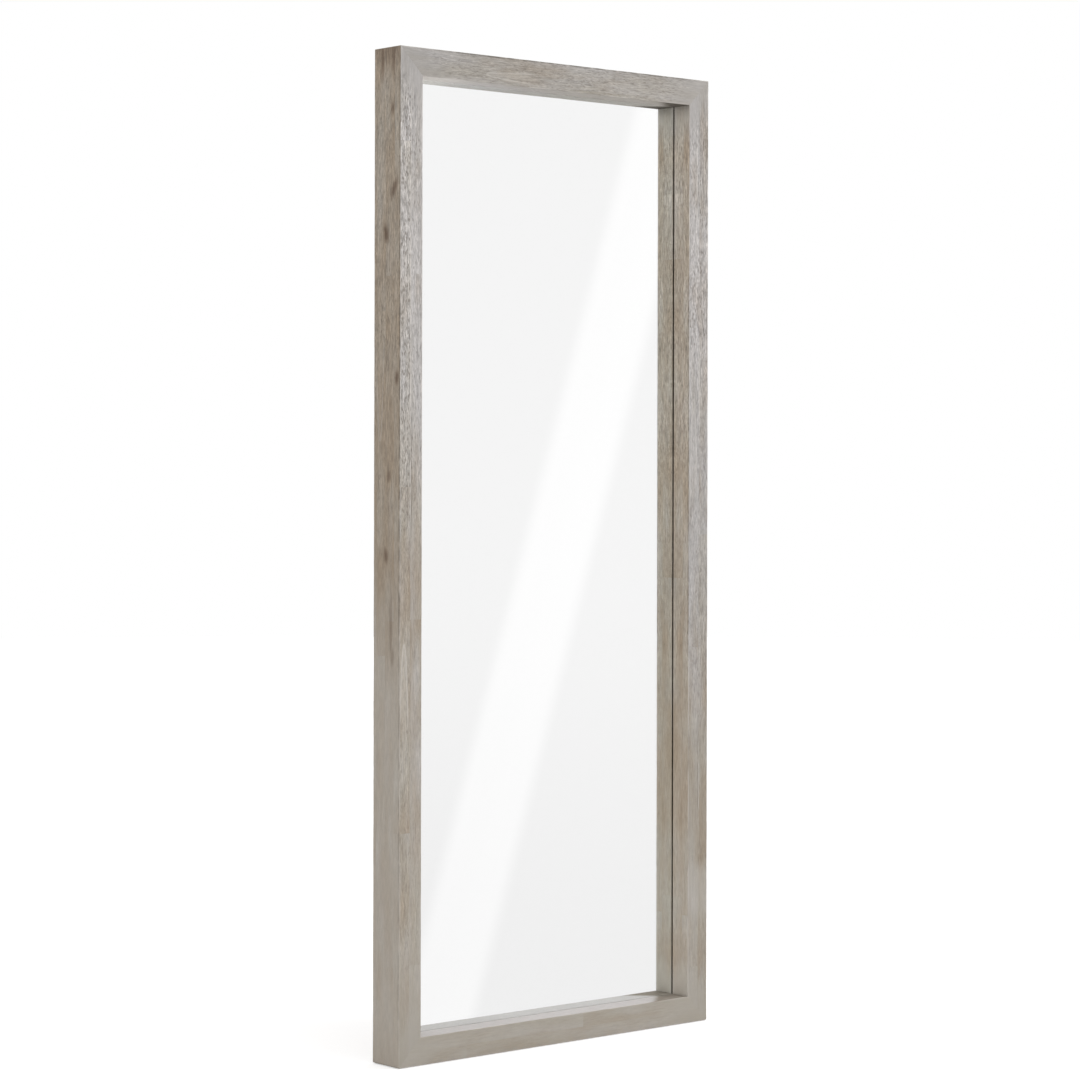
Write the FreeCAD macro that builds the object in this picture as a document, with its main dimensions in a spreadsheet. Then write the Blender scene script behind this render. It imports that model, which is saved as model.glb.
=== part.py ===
import FreeCAD, Part

# A full-length standing mirror: a deep box frame of solid wood with mitred corners and, well back
# inside it, a plain mirror glass. The frame has a rabbet from the back. The glass lies in it against
# glazing tape, stands on two setting blocks, and is held by a board, four battens and a cross bar.
# X runs across the mirror, Y from its front to its back, Z up. The origin is on the floor, midway
# between the sides and between the front face and the wall bumpers. Lengths are in millimetres.

import math
import os
import re

import Sketcher
from FreeCAD import Placement, Rotation, Vector

# Driving dimensions: name, value, what it measures
SIZES = [
    ("overall_width", "762", "frame, side to side"),
    ("overall_height", "1829", "frame, bottom to top"),
    ("frame_depth", "76", "frame, front to back"),
    ("face_width", "51", "front face of each member"),
    ("arris_radius", "1.2", "rounding of the long edges, less than that of the corners"),
    ("head_radius", "1.5", "rounding of the two top corners"),
    ("foot_radius", "3.5", "rounding of the two bottom corners"),
    ("glass_to_back", "33", "face of the glass to the back of the frame"),
    ("rabbet_reach", "12", "how far the lip covers the rabbet"),
    ("glass_thickness", "4", "mirror glass"),
    ("glass_edge_gap", "2", "glass to the rabbet's wall, and setting blocks"),
    ("glass_arris", "0.6", "ground edge of the glass"),
    ("tape_thickness", "0.5", "glazing tape, lip to glass"),
    ("tape_width", "8", "glazing tape, across"),
    ("block_length", "60", "setting block under the glass"),
    ("board_thickness", "6", "backing board"),
    ("board_edge_gap", "1", "backing board to the rabbet's wall"),
    ("batten_width", "18", "retaining batten, across its back"),
    ("batten_depth", "15", "retaining batten, front to back"),
    ("batten_end_gap", "0.5", "free end of a batten or the cross bar"),
    ("bar_height", "60", "cross bar, up and down"),
    ("bar_lap", "6", "tongue of the cross bar over a batten"),
    ("lap_gap", "0.3", "shoulder of the cross bar to the batten"),
    ("dowel_diameter", "10", "mitre dowel"),
    ("dowel_length", "40", "mitre dowel"),
    ("dowel_chamfer", "1", "mitre dowel's ends"),
    ("dowel_inset", "16", "rear dowel's axis to the back of the frame"),
    ("dowel_end_gap", "1", "glue room at a dowel's end"),
    ("glue_gap", "0.1", "dowel to its bore"),
    ("brace_leg", "80", "corner brace, along a leg"),
    ("brace_width", "16", "corner brace, across a leg"),
    ("brace_thickness", "2", "corner brace"),
    ("brace_inset", "11", "corner brace to the frame's outer faces"),
    ("brace_radius", "4", "corner brace's rounded corners"),
    ("brace_hole_end", "10", "last hole to the end of the leg"),
    ("brace_screw_clearance", "5", "inner brace screw to the dowel in the mitre"),
    ("screw_diameter", "4", "shank of every screw"),
    ("screw_head_diameter", "8", "countersunk head"),
    ("screw_head_height", "2", "countersunk head"),
    ("screw_point", "4", "tapered point"),
    ("screw_slot_width", "0.9", "cross recess, across an arm"),
    ("screw_slot_length", "4.4", "cross recess, end to end"),
    ("screw_slot_depth", "1.1", "cross recess"),
    ("screw_gap", "0.1", "screw to its hole"),
    ("plate_screw_length", "20", "screws of the braces, hangers and bumpers"),
    ("batten_screw_length", "40", "screws of the battens"),
    ("lap_screw_length", "16", "screws of the cross bar"),
    ("batten_screw_end", "150", "first side batten screw to the rabbet's end"),
    ("batten_screw_side", "100", "first top or bottom batten screw to the rabbet's side"),
    ("batten_screw_pitch", "300", "batten screws are no further apart"),
    ("hanger_drop", "300", "top of the frame to the hanger ring's axis"),
    ("strap_width", "16", "hanger strap"),
    ("strap_length", "48", "hanger strap, ring's axis to its end"),
    ("strap_thickness", "2", "hanger strap"),
    ("strap_radius", "4", "hanger strap's rounded end"),
    ("strap_slit", "0.6", "where the rolled eye closes on the strap"),
    ("strap_screw_drop", "11", "ring's axis to the first screw"),
    ("strap_screw_pitch", "25", "first screw to the second"),
    ("eye_lift", "0.3", "rolled eye to the wood"),
    ("wire_diameter", "3", "hanger ring's wire"),
    ("wire_gap", "0.08", "wire to the rolled eye"),
    ("ring_width", "24", "hanger ring, wire centre to wire centre"),
    ("ring_length", "24", "hanger ring, axis to the far wire centre"),
    ("ring_bend", "3", "hanger ring's two bends beside its bar"),
    ("bumper_diameter", "20", "wall bumper at its foot"),
    ("bumper_height", "8", "wall bumper"),
    ("bumper_taper", "1", "narrower at the tip, each side"),
    ("bumper_edge", "1.5", "wall bumper's rounded tip"),
    ("bumper_well", "9", "width of the well for the screw's head"),
    ("bumper_well_depth", "3.5", "depth of that well"),
    ("bumper_end", "120", "wall bumper to the frame's end"),
    ("pad_diameter", "20", "floor pad"),
    ("pad_thickness", "2.5", "floor pad"),
    ("pad_recess", "1.5", "how deep the pad is let in"),
    ("pad_gap", "0.2", "pad to its recess"),
    ("pad_side_inset", "40", "pad's centre to the frame's side"),
    ("pad_face_inset", "15", "pad's centre to the front or back face"),
    ("overrun", "2", "how far a cut runs past what it cuts"),
]

# Sizes and places worked out from them
LAYOUT = [
    ("pad_proud", "pad_thickness - pad_recess", "frame's bottom above the floor"),
    ("front", "-(frame_depth + bumper_height) / 2", "front face"),
    ("back", "front + frame_depth", "back face"),
    ("top", "pad_proud + overall_height", "top face"),
    ("side", "overall_width / 2", "outer side face"),
    ("middle", "pad_proud + overall_height / 2", "half way up the frame"),
    ("lip_depth", "frame_depth - glass_to_back - tape_thickness", "wood before the rabbet"),
    ("dowel_front", "front + lip_depth / 2", "front dowel's axis, midway in that wood"),
    ("dowel_rear", "back - dowel_inset", "rear dowel's axis"),
    ("wall_width", "face_width - rabbet_reach", "wood beside the rabbet"),
    ("wall_line", "side - wall_width / 2", "middle of that wood"),
    ("opening_width", "overall_width - 2 * wall_width", "rabbet, side to side"),
    ("opening_height", "overall_height - 2 * wall_width", "rabbet, bottom to top"),
    ("opening_bottom", "pad_proud + wall_width", "rabbet's floor"),
    ("opening_top", "top - wall_width", "rabbet's ceiling"),
    ("glass_width", "opening_width - 2 * glass_edge_gap", "mirror glass"),
    ("glass_height", "opening_height - 2 * glass_edge_gap", "mirror glass"),
    ("glass_bottom", "opening_bottom + glass_edge_gap", "mirror glass"),
    ("glass_front", "back - glass_to_back", "face of the mirror glass"),
    ("board_front", "glass_front + glass_thickness", "face of the backing board"),
    ("board_width", "opening_width - 2 * board_edge_gap", "backing board"),
    ("board_height", "opening_height - 2 * board_edge_gap", "backing board"),
    ("batten_front", "board_front + board_thickness", "face of the battens"),
    ("batten_middle", "batten_front + batten_depth / 2", "line of the batten screws"),
    ("batten_line", "opening_width / 2 - batten_width / 2", "middle of a side batten"),
    ("side_batten_run", "opening_height - 2 * batten_end_gap", "side batten"),
    ("end_batten_run", "opening_width - 2 * batten_width - 2 * batten_end_gap", "top batten"),
    ("bar_width", "opening_width - 2 * batten_end_gap", "cross bar, side to side"),
    ("bar_depth", "batten_depth + bar_lap", "cross bar, front to back"),
    ("bar_notch", "batten_width - batten_end_gap + lap_gap", "cross bar's notch"),
    ("bar_back", "batten_front + bar_depth", "back of the cross bar"),
    ("brace_line", "brace_inset + brace_width / 2", "middle of a brace's leg"),
    ("brace_far_hole", "brace_inset + brace_leg - brace_hole_end", "outer hole"),
    ("screw_to_dowel", "(screw_diameter + dowel_diameter) / 2 + brace_screw_clearance", "axes"),
    ("brace_near_hole", "face_width - brace_line + 2 ^ 0.5 * screw_to_dowel", "inner hole"),
    ("eye_bore", "wire_diameter / 2 + wire_gap", "radius inside the rolled eye"),
    ("eye_outside", "eye_bore + strap_thickness", "radius outside the rolled eye"),
    ("eye_height", "eye_lift + eye_outside", "ring's axis to the wood"),
    ("eye_axis", "top - hanger_drop", "ring's axis above the floor"),
    ("ring_leg", "ring_length - ring_width / 2", "where the ring's bow begins"),
]

doc = FreeCAD.newDocument("standing_mirror")
sizes = doc.addObject("Spreadsheet::Sheet", "Sizes")
layout = doc.addObject("Spreadsheet::Sheet", "Layout")
SHEET_OF = {row[0]: "Sizes" for row in SIZES} | {row[0]: "Layout" for row in LAYOUT}
NODES = {}


def qualified(formula):
    """The formula with each size's name led by the name of its sheet."""
    return re.sub(r"[a-z_]+", lambda word: f"{SHEET_OF[word[0]]}.{word[0]}", formula)


def fill_sheets():
    """Writes the driving dimensions as plain numbers and the layout as formulas."""
    for row, (name, value, meaning) in enumerate(SIZES, 1):
        sizes.set(f"A{row}", meaning)
        sizes.set(f"B{row}", value)
        sizes.setAlias(f"B{row}", name)
    doc.recompute()
    for row, (name, formula, meaning) in enumerate(LAYOUT, 1):
        layout.set(f"A{row}", meaning)
        layout.set(f"B{row}", "=" + qualified(formula))
        layout.setAlias(f"B{row}", name)
        doc.recompute()


def get(name):
    """The size of that name as a number."""
    return float(getattr(sizes if SHEET_OF[name] == "Sizes" else layout, name))


def bind(item, **formulas):
    """Binds properties of an object to formulas in named sizes."""
    for name, formula in formulas.items():
        item.setExpression(name, qualified(formula))


def place(item, x, y, z, turn=Rotation()):
    """Puts an object at a place given in formulas, with a rotation."""
    item.Placement = Placement(Vector(), turn)
    for axis, formula in zip("xyz", (x, y, z)):
        item.setExpression(f"Placement.Base.{axis}", qualified(formula))


def keep(item, label):
    """Names an object that is a finished sub-part of the mirror."""
    item.Label = label
    NODES[label] = item
    return item


# Sketches and bodies


def new_body(name):
    """An empty body."""
    return doc.addObject("PartDesign::Body", name)


def new_sketch(body, name, role="XZ_Plane", setback=None):
    """A sketch on one of the body's own planes, or set back from it by a formula."""
    sketch = body.newObject("Sketcher::SketchObject", name)
    plane = next(item for item in body.Origin.OriginFeatures if item.Role == role)
    sketch.AttachmentSupport = [(plane, "")]
    sketch.MapMode = "FlatFace"
    if setback:
        sketch.setExpression("AttachmentOffset.Base.z", qualified(f"-({setback})"))
    return sketch


def dimension(sketch, kind, points, formula):
    """Adds a dimension bound to a formula. It starts as what the drawn shape measures."""
    if kind == "Radius":
        drawn = sketch.Geometry[points[0]].Radius
    else:
        step = sketch.getPoint(*points[2:]) - sketch.getPoint(*points[:2])
        drawn = step.x if kind == "DistanceX" else step.y
    number = sketch.addConstraint(Sketcher.Constraint(kind, *points, drawn))
    sketch.setExpression(f"Constraints[{number}]", qualified(formula))


def join_ends(sketch, edges):
    """Joins the end of each edge to the start of the next, all round."""
    for edge, following in zip(edges, edges[1:] + edges[:1]):
        sketch.addConstraint(Sketcher.Constraint("Coincident", edge, 2, following, 1))


def square_outline(sketch, points):
    """A closed outline of lines along X and Y, X first. Returns the number of its first line."""
    first = sketch.GeometryCount
    for start, end in zip(points, points[1:] + points[:1]):
        sketch.addGeometry(Part.LineSegment(Vector(*start, 0), Vector(*end, 0)), False)
    edges = list(range(first, sketch.GeometryCount))
    join_ends(sketch, edges)
    for number, edge in enumerate(edges):
        kind = "Vertical" if number % 2 else "Horizontal"
        sketch.addConstraint(Sketcher.Constraint(kind, edge))
    return first


def rectangle(sketch, left, bottom, width, height):
    """A rectangle whose corner and sides are bound to formulas."""
    first = square_outline(sketch, [(0, 0), (1, 0), (1, 1), (0, 1)])
    dimension(sketch, "DistanceX", (-1, 1, first, 1), left)
    dimension(sketch, "DistanceY", (-1, 1, first, 1), bottom)
    dimension(sketch, "DistanceX", (first, 1, first, 2), width)
    dimension(sketch, "DistanceY", (first + 1, 1, first + 1, 2), height)


def pad(body, sketch, depth):
    """Pads a sketch on the XZ plane towards the back by a formula."""
    feature = body.newObject("PartDesign::Pad", sketch.Name + "Pad")
    feature.Profile = sketch
    feature.Reversed = True
    bind(feature, Length=depth)
    doc.recompute()
    return feature


def pocket(body, sketch, depth=None):
    """Cuts a sketch on the XZ plane towards the back, by a formula or right through."""
    before = body.Shape.Volume
    feature = body.newObject("PartDesign::Pocket", sketch.Name + "Pocket")
    feature.Profile = sketch
    if depth:
        bind(feature, Length=depth)
    else:
        feature.Type = "ThroughAll"
    doc.recompute()
    if not body.Shape.Volume < before:
        raise ValueError(f"{feature.Name} cuts nothing")
    return feature


def edges_where(shape, test):
    """Names of the shape's edges whose middle and direction pass a test."""
    found = []
    for number, edge in enumerate(shape.Edges, 1):
        middle = edge.valueAt((edge.FirstParameter + edge.LastParameter) / 2)
        along = edge.Vertexes[-1].Point - edge.Vertexes[0].Point
        if test(middle, along):
            found.append(f"Edge{number}")
    return found


def round_edges(body, base, test, radius):
    """Rounds the edges that pass a test."""
    feature = body.newObject("PartDesign::Fillet", base.Name + "Rounding")
    feature.Base = (base, edges_where(base.Shape, test))
    bind(feature, Radius=radius)
    doc.recompute()
    return feature


def near(first, second):
    """Whether two lengths are the same."""
    return math.isclose(first, second, abs_tol=Part.Precision.confusion())


def drilled(item, label):
    """An object with the holes of every fastener that passes through it."""
    cut = doc.addObject("Part::Cut", label)
    cut.Base = item
    cut.Tool = holes
    return keep(cut, label)


# The four members of the frame

QUARTER = 90
LEVEL = Rotation()
MEMBERS = {
    "bottom_rail": ("overall_width", "foot_radius", "foot_radius", "-side", "pad_proud", 0),
    "right_stile": ("overall_height", "foot_radius", "head_radius", "side", "pad_proud", -1),
    "top_rail": ("overall_width", "head_radius", "head_radius", "side", "top", 2),
    "left_stile": ("overall_height", "head_radius", "foot_radius", "-side", "top", 1),
}


def quarter_turns(number):
    """Quarter turns about the Y axis."""
    return Rotation(Vector(0, 1, 0), number * QUARTER)


def mitre_outline(sketch, run, first_radius, last_radius):
    """A member from the front: outer edge along X, mitred ends, and half of each rounded corner."""
    length, face = get(run), get("face_width")
    half = math.sqrt(0.5)
    first, last = get(first_radius), get(last_radius)
    low = Vector(first * (1 - half), first * (1 - half), 0)
    high = Vector(length - last * (1 - half), last * (1 - half), 0)
    inner = [Vector(face, face, 0), Vector(length - face, face, 0)]
    left_arc = Part.Circle(Vector(first, first, 0), Vector(0, 0, 1), first)
    right_arc = Part.Circle(Vector(length - last, last, 0), Vector(0, 0, 1), last)
    low_turn, eighth = 1.5 * math.pi, math.pi / 4
    sketch.addGeometry(
        [
            Part.LineSegment(inner[0], low),
            Part.ArcOfCircle(left_arc, low_turn - eighth, low_turn),
            Part.LineSegment(Vector(first, 0, 0), Vector(length - last, 0, 0)),
            Part.ArcOfCircle(right_arc, low_turn, low_turn + eighth),
            Part.LineSegment(high, inner[1]),
            Part.LineSegment(inner[1], inner[0]),
        ],
        False,
    )
    sketch.addConstraint(
        [
            Sketcher.Constraint("Coincident", 0, 2, 1, 1),
            Sketcher.Constraint("Tangent", 1, 2, 2, 1),
            Sketcher.Constraint("Tangent", 2, 2, 3, 1),
            Sketcher.Constraint("Coincident", 3, 2, 4, 1),
            Sketcher.Constraint("Coincident", 4, 2, 5, 1),
            Sketcher.Constraint("Coincident", 5, 2, 0, 1),
            Sketcher.Constraint("Horizontal", 5),
            Sketcher.Constraint("PointOnObject", 2, 1, -1),
            Sketcher.Constraint("PointOnObject", 2, 2, -1),
            Sketcher.Constraint("PointOnObject", 1, 3, 0),
            Sketcher.Constraint("PointOnObject", 3, 3, 4),
        ]
    )
    dimension(sketch, "Radius", (1,), first_radius)
    dimension(sketch, "Radius", (3,), last_radius)
    dimension(sketch, "DistanceX", (-1, 1, 1, 3), first_radius)
    dimension(sketch, "DistanceX", (-1, 1, 3, 3), f"{run} - {last_radius}")
    dimension(sketch, "DistanceX", (-1, 1, 0, 1), "face_width")
    dimension(sketch, "DistanceY", (-1, 1, 0, 1), "face_width")
    dimension(sketch, "DistanceX", (-1, 1, 4, 2), f"{run} - face_width")


def member(label):
    """A stile or rail: a mitred bar with the rabbet along its inner back edge."""
    run, first_radius, last_radius, x, z, turns = MEMBERS[label]
    body = new_body(label + "_blank")
    outline = new_sketch(body, label + "_outline")
    mitre_outline(outline, run, first_radius, last_radius)
    pad(body, outline, "frame_depth")
    rabbet = new_sketch(body, label + "_rabbet", setback="lip_depth")
    rectangle(rabbet, "0", "wall_width", run, "rabbet_reach + overrun")
    rabbeted = pocket(body, rabbet)
    rounding = max(get(first_radius), get(last_radius))

    def is_arris(middle, along):
        """The outer edges at the front and back, and the inner edge at the front."""
        outer = middle.z < rounding and near(along.y, 0)
        at_front = near(middle.y, 0)
        inner = near(middle.z, get("face_width")) and near(along.y, 0)
        return at_front and (outer or inner) or outer and near(middle.y, get("frame_depth"))

    round_edges(body, rabbeted, is_arris, "arris_radius")
    place(body, x, "front", z, quarter_turns(turns))
    drilled(body, label)


# Glass, tape, blocks, board, battens and cross bar


def box(label, width, depth, height, x, y, z):
    """A plain rectangular piece, its size and lowest corner given in formulas."""
    piece = doc.addObject("Part::Box", label)
    bind(piece, Length=width, Width=depth, Height=height)
    place(piece, x, y, z)
    return piece


def mirror_glass():
    """The pane, with a ground arris all round its front and back."""
    body = new_body("pane")
    outline = new_sketch(body, "pane_outline")
    rectangle(outline, "-glass_width / 2", "0", "glass_width", "glass_height")
    slab = pad(body, outline, "glass_thickness")
    ground = body.newObject("PartDesign::Chamfer", "ground_edges")
    ground.Base = (slab, edges_where(slab.Shape, lambda middle, along: near(along.y, 0)))
    bind(ground, Size="glass_arris")
    place(body, "0", "glass_front", "glass_bottom")
    keep(body, "mirror_glass")


def glazing_tape():
    """A strip on each side between the lip and the glass."""
    y, deep = "front + lip_depth", "tape_thickness"
    run = "glass_height - 2 * tape_width"
    left, low = "-glass_width / 2", "glass_bottom"
    for label, z in (("bottom", low), ("top", "glass_bottom + glass_height - tape_width")):
        strip = box(label + "_tape", "glass_width", deep, "tape_width", left, y, z)
        keep(strip, label + "_glazing_tape")
    for label, x in (("left", left), ("right", "glass_width / 2 - tape_width")):
        strip = box(label + "_tape", "tape_width", deep, run, x, y, low + " + tape_width")
        keep(strip, label + "_glazing_tape")


def setting_blocks():
    """The blocks that the glass stands on, a quarter of its width in from its sides."""
    for label, sign in (("left", "-"), ("right", "")):
        x = f"{sign}glass_width / 4 - block_length / 2"
        where = (x, "glass_front", "opening_bottom")
        block = box(label + "_block", "block_length", "glass_thickness", "glass_edge_gap", *where)
        keep(block, label + "_setting_block")


def backing_board():
    """The board behind the glass."""
    where = ("-board_width / 2", "board_front", "opening_bottom + board_edge_gap")
    keep(box("board", "board_width", "board_thickness", "board_height", *where), "backing_board")


def battens():
    """Four battens round the rabbet hold the board: long ones at the sides, short between."""
    left = "-opening_width / 2"
    right = "opening_width / 2 - batten_width"
    for label, x in (("left", left), ("right", right)):
        where = (x, "batten_front", "opening_bottom + batten_end_gap")
        blank = box(label + "_strip", "batten_width", "batten_depth", "side_batten_run", *where)
        drilled(blank, label + "_batten")
    for label, z in (("bottom", "opening_bottom"), ("top", "opening_top - batten_width")):
        where = ("-end_batten_run / 2", "batten_front", z)
        blank = box(label + "_strip", "end_batten_run", "batten_depth", "batten_width", *where)
        drilled(blank, label + "_batten")


def cross_bar():
    """A bar across the middle of the back, half-lapped over the side battens."""
    body = new_body("bar")
    outline = new_sketch(body, "bar_outline")
    rectangle(outline, "-bar_width / 2", "-bar_height / 2", "bar_width", "bar_height")
    pad(body, outline, "bar_depth")
    notches = new_sketch(body, "bar_notches")
    tall, low = "bar_height + 2 * overrun", "-bar_height / 2 - overrun"
    wide = "bar_notch + overrun"
    rectangle(notches, "-bar_width / 2 - overrun", low, wide, tall)
    rectangle(notches, "bar_width / 2 - bar_notch", low, wide, tall)
    pocket(body, notches, "batten_depth")
    place(body, "0", "batten_front", "middle")
    drilled(body, "cross_bar")


# Corner braces, hangers, bumpers and pads

CORNERS = {
    "bottom_left": (-1, 1, 0),
    "bottom_right": (1, 1, -1),
    "top_right": (1, -1, 2),
    "top_left": (-1, -1, 1),
}


def corner_brace(corner):
    """A flat steel angle across a mitre at the back."""
    across, up, turns = CORNERS[corner]
    body = new_body(corner + "_angle")
    outline = new_sketch(body, corner + "_angle_outline")
    leg, width = get("brace_leg"), get("brace_width")
    points = [(0, 0), (leg, 0), (leg, width), (width, width), (width, leg), (0, leg)]
    first = square_outline(outline, points)
    outline.addConstraint(Sketcher.Constraint("Coincident", first, 1, -1, 1))
    dimension(outline, "DistanceX", (first, 1, first, 2), "brace_leg")
    dimension(outline, "DistanceY", (first + 1, 1, first + 1, 2), "brace_width")
    dimension(outline, "DistanceX", (first + 4, 2, first + 4, 1), "brace_width")
    dimension(outline, "DistanceY", (first + 5, 2, first + 5, 1), "brace_leg")
    plate = pad(body, outline, "brace_thickness")

    def is_outer_corner(middle, along):
        """Every corner of the plate but the inner one of the angle."""
        inner = near(middle.x, get("brace_width")) and near(middle.z, get("brace_width"))
        return not near(along.y, 0) and not inner

    round_edges(body, plate, is_outer_corner, "brace_radius")
    x = "brace_inset - side" if across < 0 else "side - brace_inset"
    z = "pad_proud + brace_inset" if up > 0 else "top - brace_inset"
    place(body, x, "back", z, quarter_turns(turns))
    drilled(body, corner + "_brace")


def hanger_strap(label, x):
    """A strap rolled into an eye at its upper end. Its origin is the eye's axis."""
    body = new_body(label + "_strap")
    flat = new_sketch(body, label + "_strap_flat", "YZ_Plane")
    rectangle(flat, "-eye_height", "-strap_length", "strap_thickness", "strap_length")
    eye = new_sketch(body, label + "_strap_eye", "YZ_Plane")
    for radius in ("eye_outside", "eye_bore"):
        circle = Part.Circle(Vector(), Vector(0, 0, 1), get(radius))
        number = eye.addGeometry(circle, False)
        eye.addConstraint(Sketcher.Constraint("Coincident", number, 3, -1, 1))
        dimension(eye, "Radius", (number,), radius)
    slit = new_sketch(body, label + "_strap_slit", "YZ_Plane")
    slit_left = "strap_thickness - eye_height"
    rectangle(slit, slit_left, "-eye_outside", "eye_height - strap_thickness", "strap_slit")
    for sketch in (flat, eye):
        strip = body.newObject("PartDesign::Pad", sketch.Name + "Pad")
        strip.Profile = sketch
        strip.SideType = "Symmetric"
        bind(strip, Length="strap_width")
        doc.recompute()
    before = body.Shape.Volume
    cut = body.newObject("PartDesign::Pocket", slit.Name + "Pocket")
    cut.Profile = slit
    cut.SideType = "Symmetric"
    bind(cut, Length="strap_width + overrun")
    doc.recompute()
    if not body.Shape.Volume < before:
        raise ValueError("the rolled eye has no slit")

    def is_end_corner(middle, along):
        """The two corners at the strap's lower end."""
        return near(middle.z, -get("strap_length")) and not near(along.y, 0)

    round_edges(body, cut, is_end_corner, "strap_radius")
    place(body, x, "back + eye_height", "eye_axis")
    drilled(body, label + "_hanger_strap")


def hanger_ring(label, x):
    """A stirrup of wire: a bar through the eye, two short legs and a round bow, hanging down."""
    body = new_body(label + "_ring")
    path = new_sketch(body, label + "_ring_path")
    half, bend, leg = get("ring_width") / 2, get("ring_bend"), get("ring_leg")
    up = Vector(0, 0, 1)
    right = Part.Circle(Vector(half - bend, -bend, 0), up, bend)
    left = Part.Circle(Vector(bend - half, -bend, 0), up, bend)
    bow = Part.Circle(Vector(0, -leg, 0), up, half)
    half_turn = math.pi
    path.addGeometry(
        [
            Part.LineSegment(Vector(half - bend, 0, 0), Vector(bend - half, 0, 0)),
            Part.ArcOfCircle(left, half_turn / 2, half_turn),
            Part.LineSegment(Vector(-half, -bend, 0), Vector(-half, -leg, 0)),
            Part.ArcOfCircle(bow, half_turn, 2 * half_turn),
            Part.LineSegment(Vector(half, -leg, 0), Vector(half, -bend, 0)),
            Part.ArcOfCircle(right, 0, half_turn / 2),
        ],
        False,
    )
    for edge in range(6):
        path.addConstraint(Sketcher.Constraint("Tangent", edge, 2, (edge + 1) % 6, 1))
    path.addConstraint(
        [
            Sketcher.Constraint("Horizontal", 0),
            Sketcher.Constraint("Vertical", 2),
            Sketcher.Constraint("PointOnObject", 0, 1, -1),
            Sketcher.Constraint("PointOnObject", 3, 3, -2),
            Sketcher.Constraint("Equal", 1, 5),
        ]
    )
    dimension(path, "Radius", (1,), "ring_bend")
    dimension(path, "Radius", (3,), "ring_width / 2")
    dimension(path, "DistanceY", (3, 3, -1, 1), "ring_leg")
    section = new_sketch(body, label + "_ring_section", "YZ_Plane")
    wire = Part.Circle(Vector(), up, get("wire_diameter") / 2)
    number = section.addGeometry(wire, False)
    section.addConstraint(Sketcher.Constraint("Coincident", number, 3, -1, 1))
    dimension(section, "Radius", (number,), "wire_diameter / 2")
    pipe = body.newObject("PartDesign::AdditivePipe", label + "_ring_pipe")
    pipe.Profile = section
    pipe.Spine = (path, [])
    doc.recompute()
    place(body, x, "back + eye_height", "eye_axis")
    keep(body, label + "_hanger_ring")


def wall_bumper(corner):
    """A rubber button with a well for its screw's head. Its axis points to the wall."""
    across, up, _ = CORNERS[corner]
    body = new_body(corner + "_button")
    outline = new_sketch(body, corner + "_button_outline")
    wide, tall = get("bumper_diameter") / 2, get("bumper_height")
    well, floor = get("bumper_well") / 2, tall - get("bumper_well_depth")
    tip = wide - get("bumper_taper")
    points = [(0, 0), (wide, 0), (tip, tall), (well, tall), (well, floor), (0, floor)]
    for start, end in zip(points, points[1:] + points[:1]):
        outline.addGeometry(Part.LineSegment(Vector(*start, 0), Vector(*end, 0)), False)
    join_ends(outline, list(range(6)))
    for edge in (0, 2, 4):
        outline.addConstraint(Sketcher.Constraint("Horizontal", edge))
    for edge in (3, 5):
        outline.addConstraint(Sketcher.Constraint("Vertical", edge))
    outline.addConstraint(Sketcher.Constraint("Coincident", 0, 1, -1, 1))
    dimension(outline, "DistanceX", (0, 1, 0, 2), "bumper_diameter / 2")
    dimension(outline, "DistanceX", (-1, 1, 1, 2), "bumper_diameter / 2 - bumper_taper")
    dimension(outline, "DistanceY", (-1, 1, 1, 2), "bumper_height")
    dimension(outline, "DistanceX", (-1, 1, 3, 1), "bumper_well / 2")
    dimension(outline, "DistanceY", (3, 2, 3, 1), "bumper_well_depth")
    turned = body.newObject("PartDesign::Revolution", corner + "_button_turned")
    turned.Profile = outline
    turned.ReferenceAxis = (outline, ["V_Axis"])
    doc.recompute()

    def is_tip(middle, along):
        """The outer edge of the face that meets the wall."""
        return near(middle.z, tall) and near(math.hypot(middle.x, middle.y), tip)

    round_edges(body, turned, is_tip, "bumper_edge")
    x = "-wall_line" if across < 0 else "wall_line"
    z = "pad_proud + bumper_end" if up > 0 else "top - bumper_end"
    place(body, x, "back", z, Rotation(Vector(1, 0, 0), -QUARTER))
    drilled(body, corner + "_wall_bumper")


def floor_pads():
    """Four round pads let into the underside of the bottom rail."""
    for side_label, x in (("left", "pad_side_inset - side"), ("right", "side - pad_side_inset")):
        for face, y in (("front", "front + pad_face_inset"), ("back", "back - pad_face_inset")):
            disc = doc.addObject("Part::Cylinder", f"{side_label}_{face}_disc")
            bind(disc, Radius="pad_diameter / 2", Height="pad_thickness")
            place(disc, x, y, "0")
            keep(disc, f"{side_label}_{face}_floor_pad")


# Screws and dowels: one shape each, set at the places that they hold, and the holes round them


def turned(profile):
    """The solid that a closed half profile sweeps round the Z axis."""
    wire = Part.makePolygon(profile + profile[:1])
    return Part.Face(wire).revolve(Vector(), Vector(0, 0, 1), 4 * QUARTER)


def screw_profile(length, gap=0.0):
    """Half of a countersunk screw along -Z, from its head's rim at zero down to its point."""
    head, shank = get("screw_head_diameter") / 2 + gap, get("screw_diameter") / 2 + gap
    taper, point = get("screw_head_height"), get("screw_point")
    return [
        Vector(head, 0, 0),
        Vector(shank, 0, -taper),
        Vector(shank, 0, point - length),
        Vector(0, 0, -length - gap),
    ]


def screw(length):
    """A countersunk screw driven along -Z, with a cross recess in its head at zero."""
    solid = turned([Vector()] + screw_profile(length))
    long, wide = get("screw_slot_length"), get("screw_slot_width")
    deep = get("screw_slot_depth")
    for across, along in ((long, wide), (wide, long)):
        corner = Vector(-across / 2, -along / 2, -deep)
        solid = solid.cut(Part.makeBox(across, along, deep, corner))
    return solid


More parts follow.
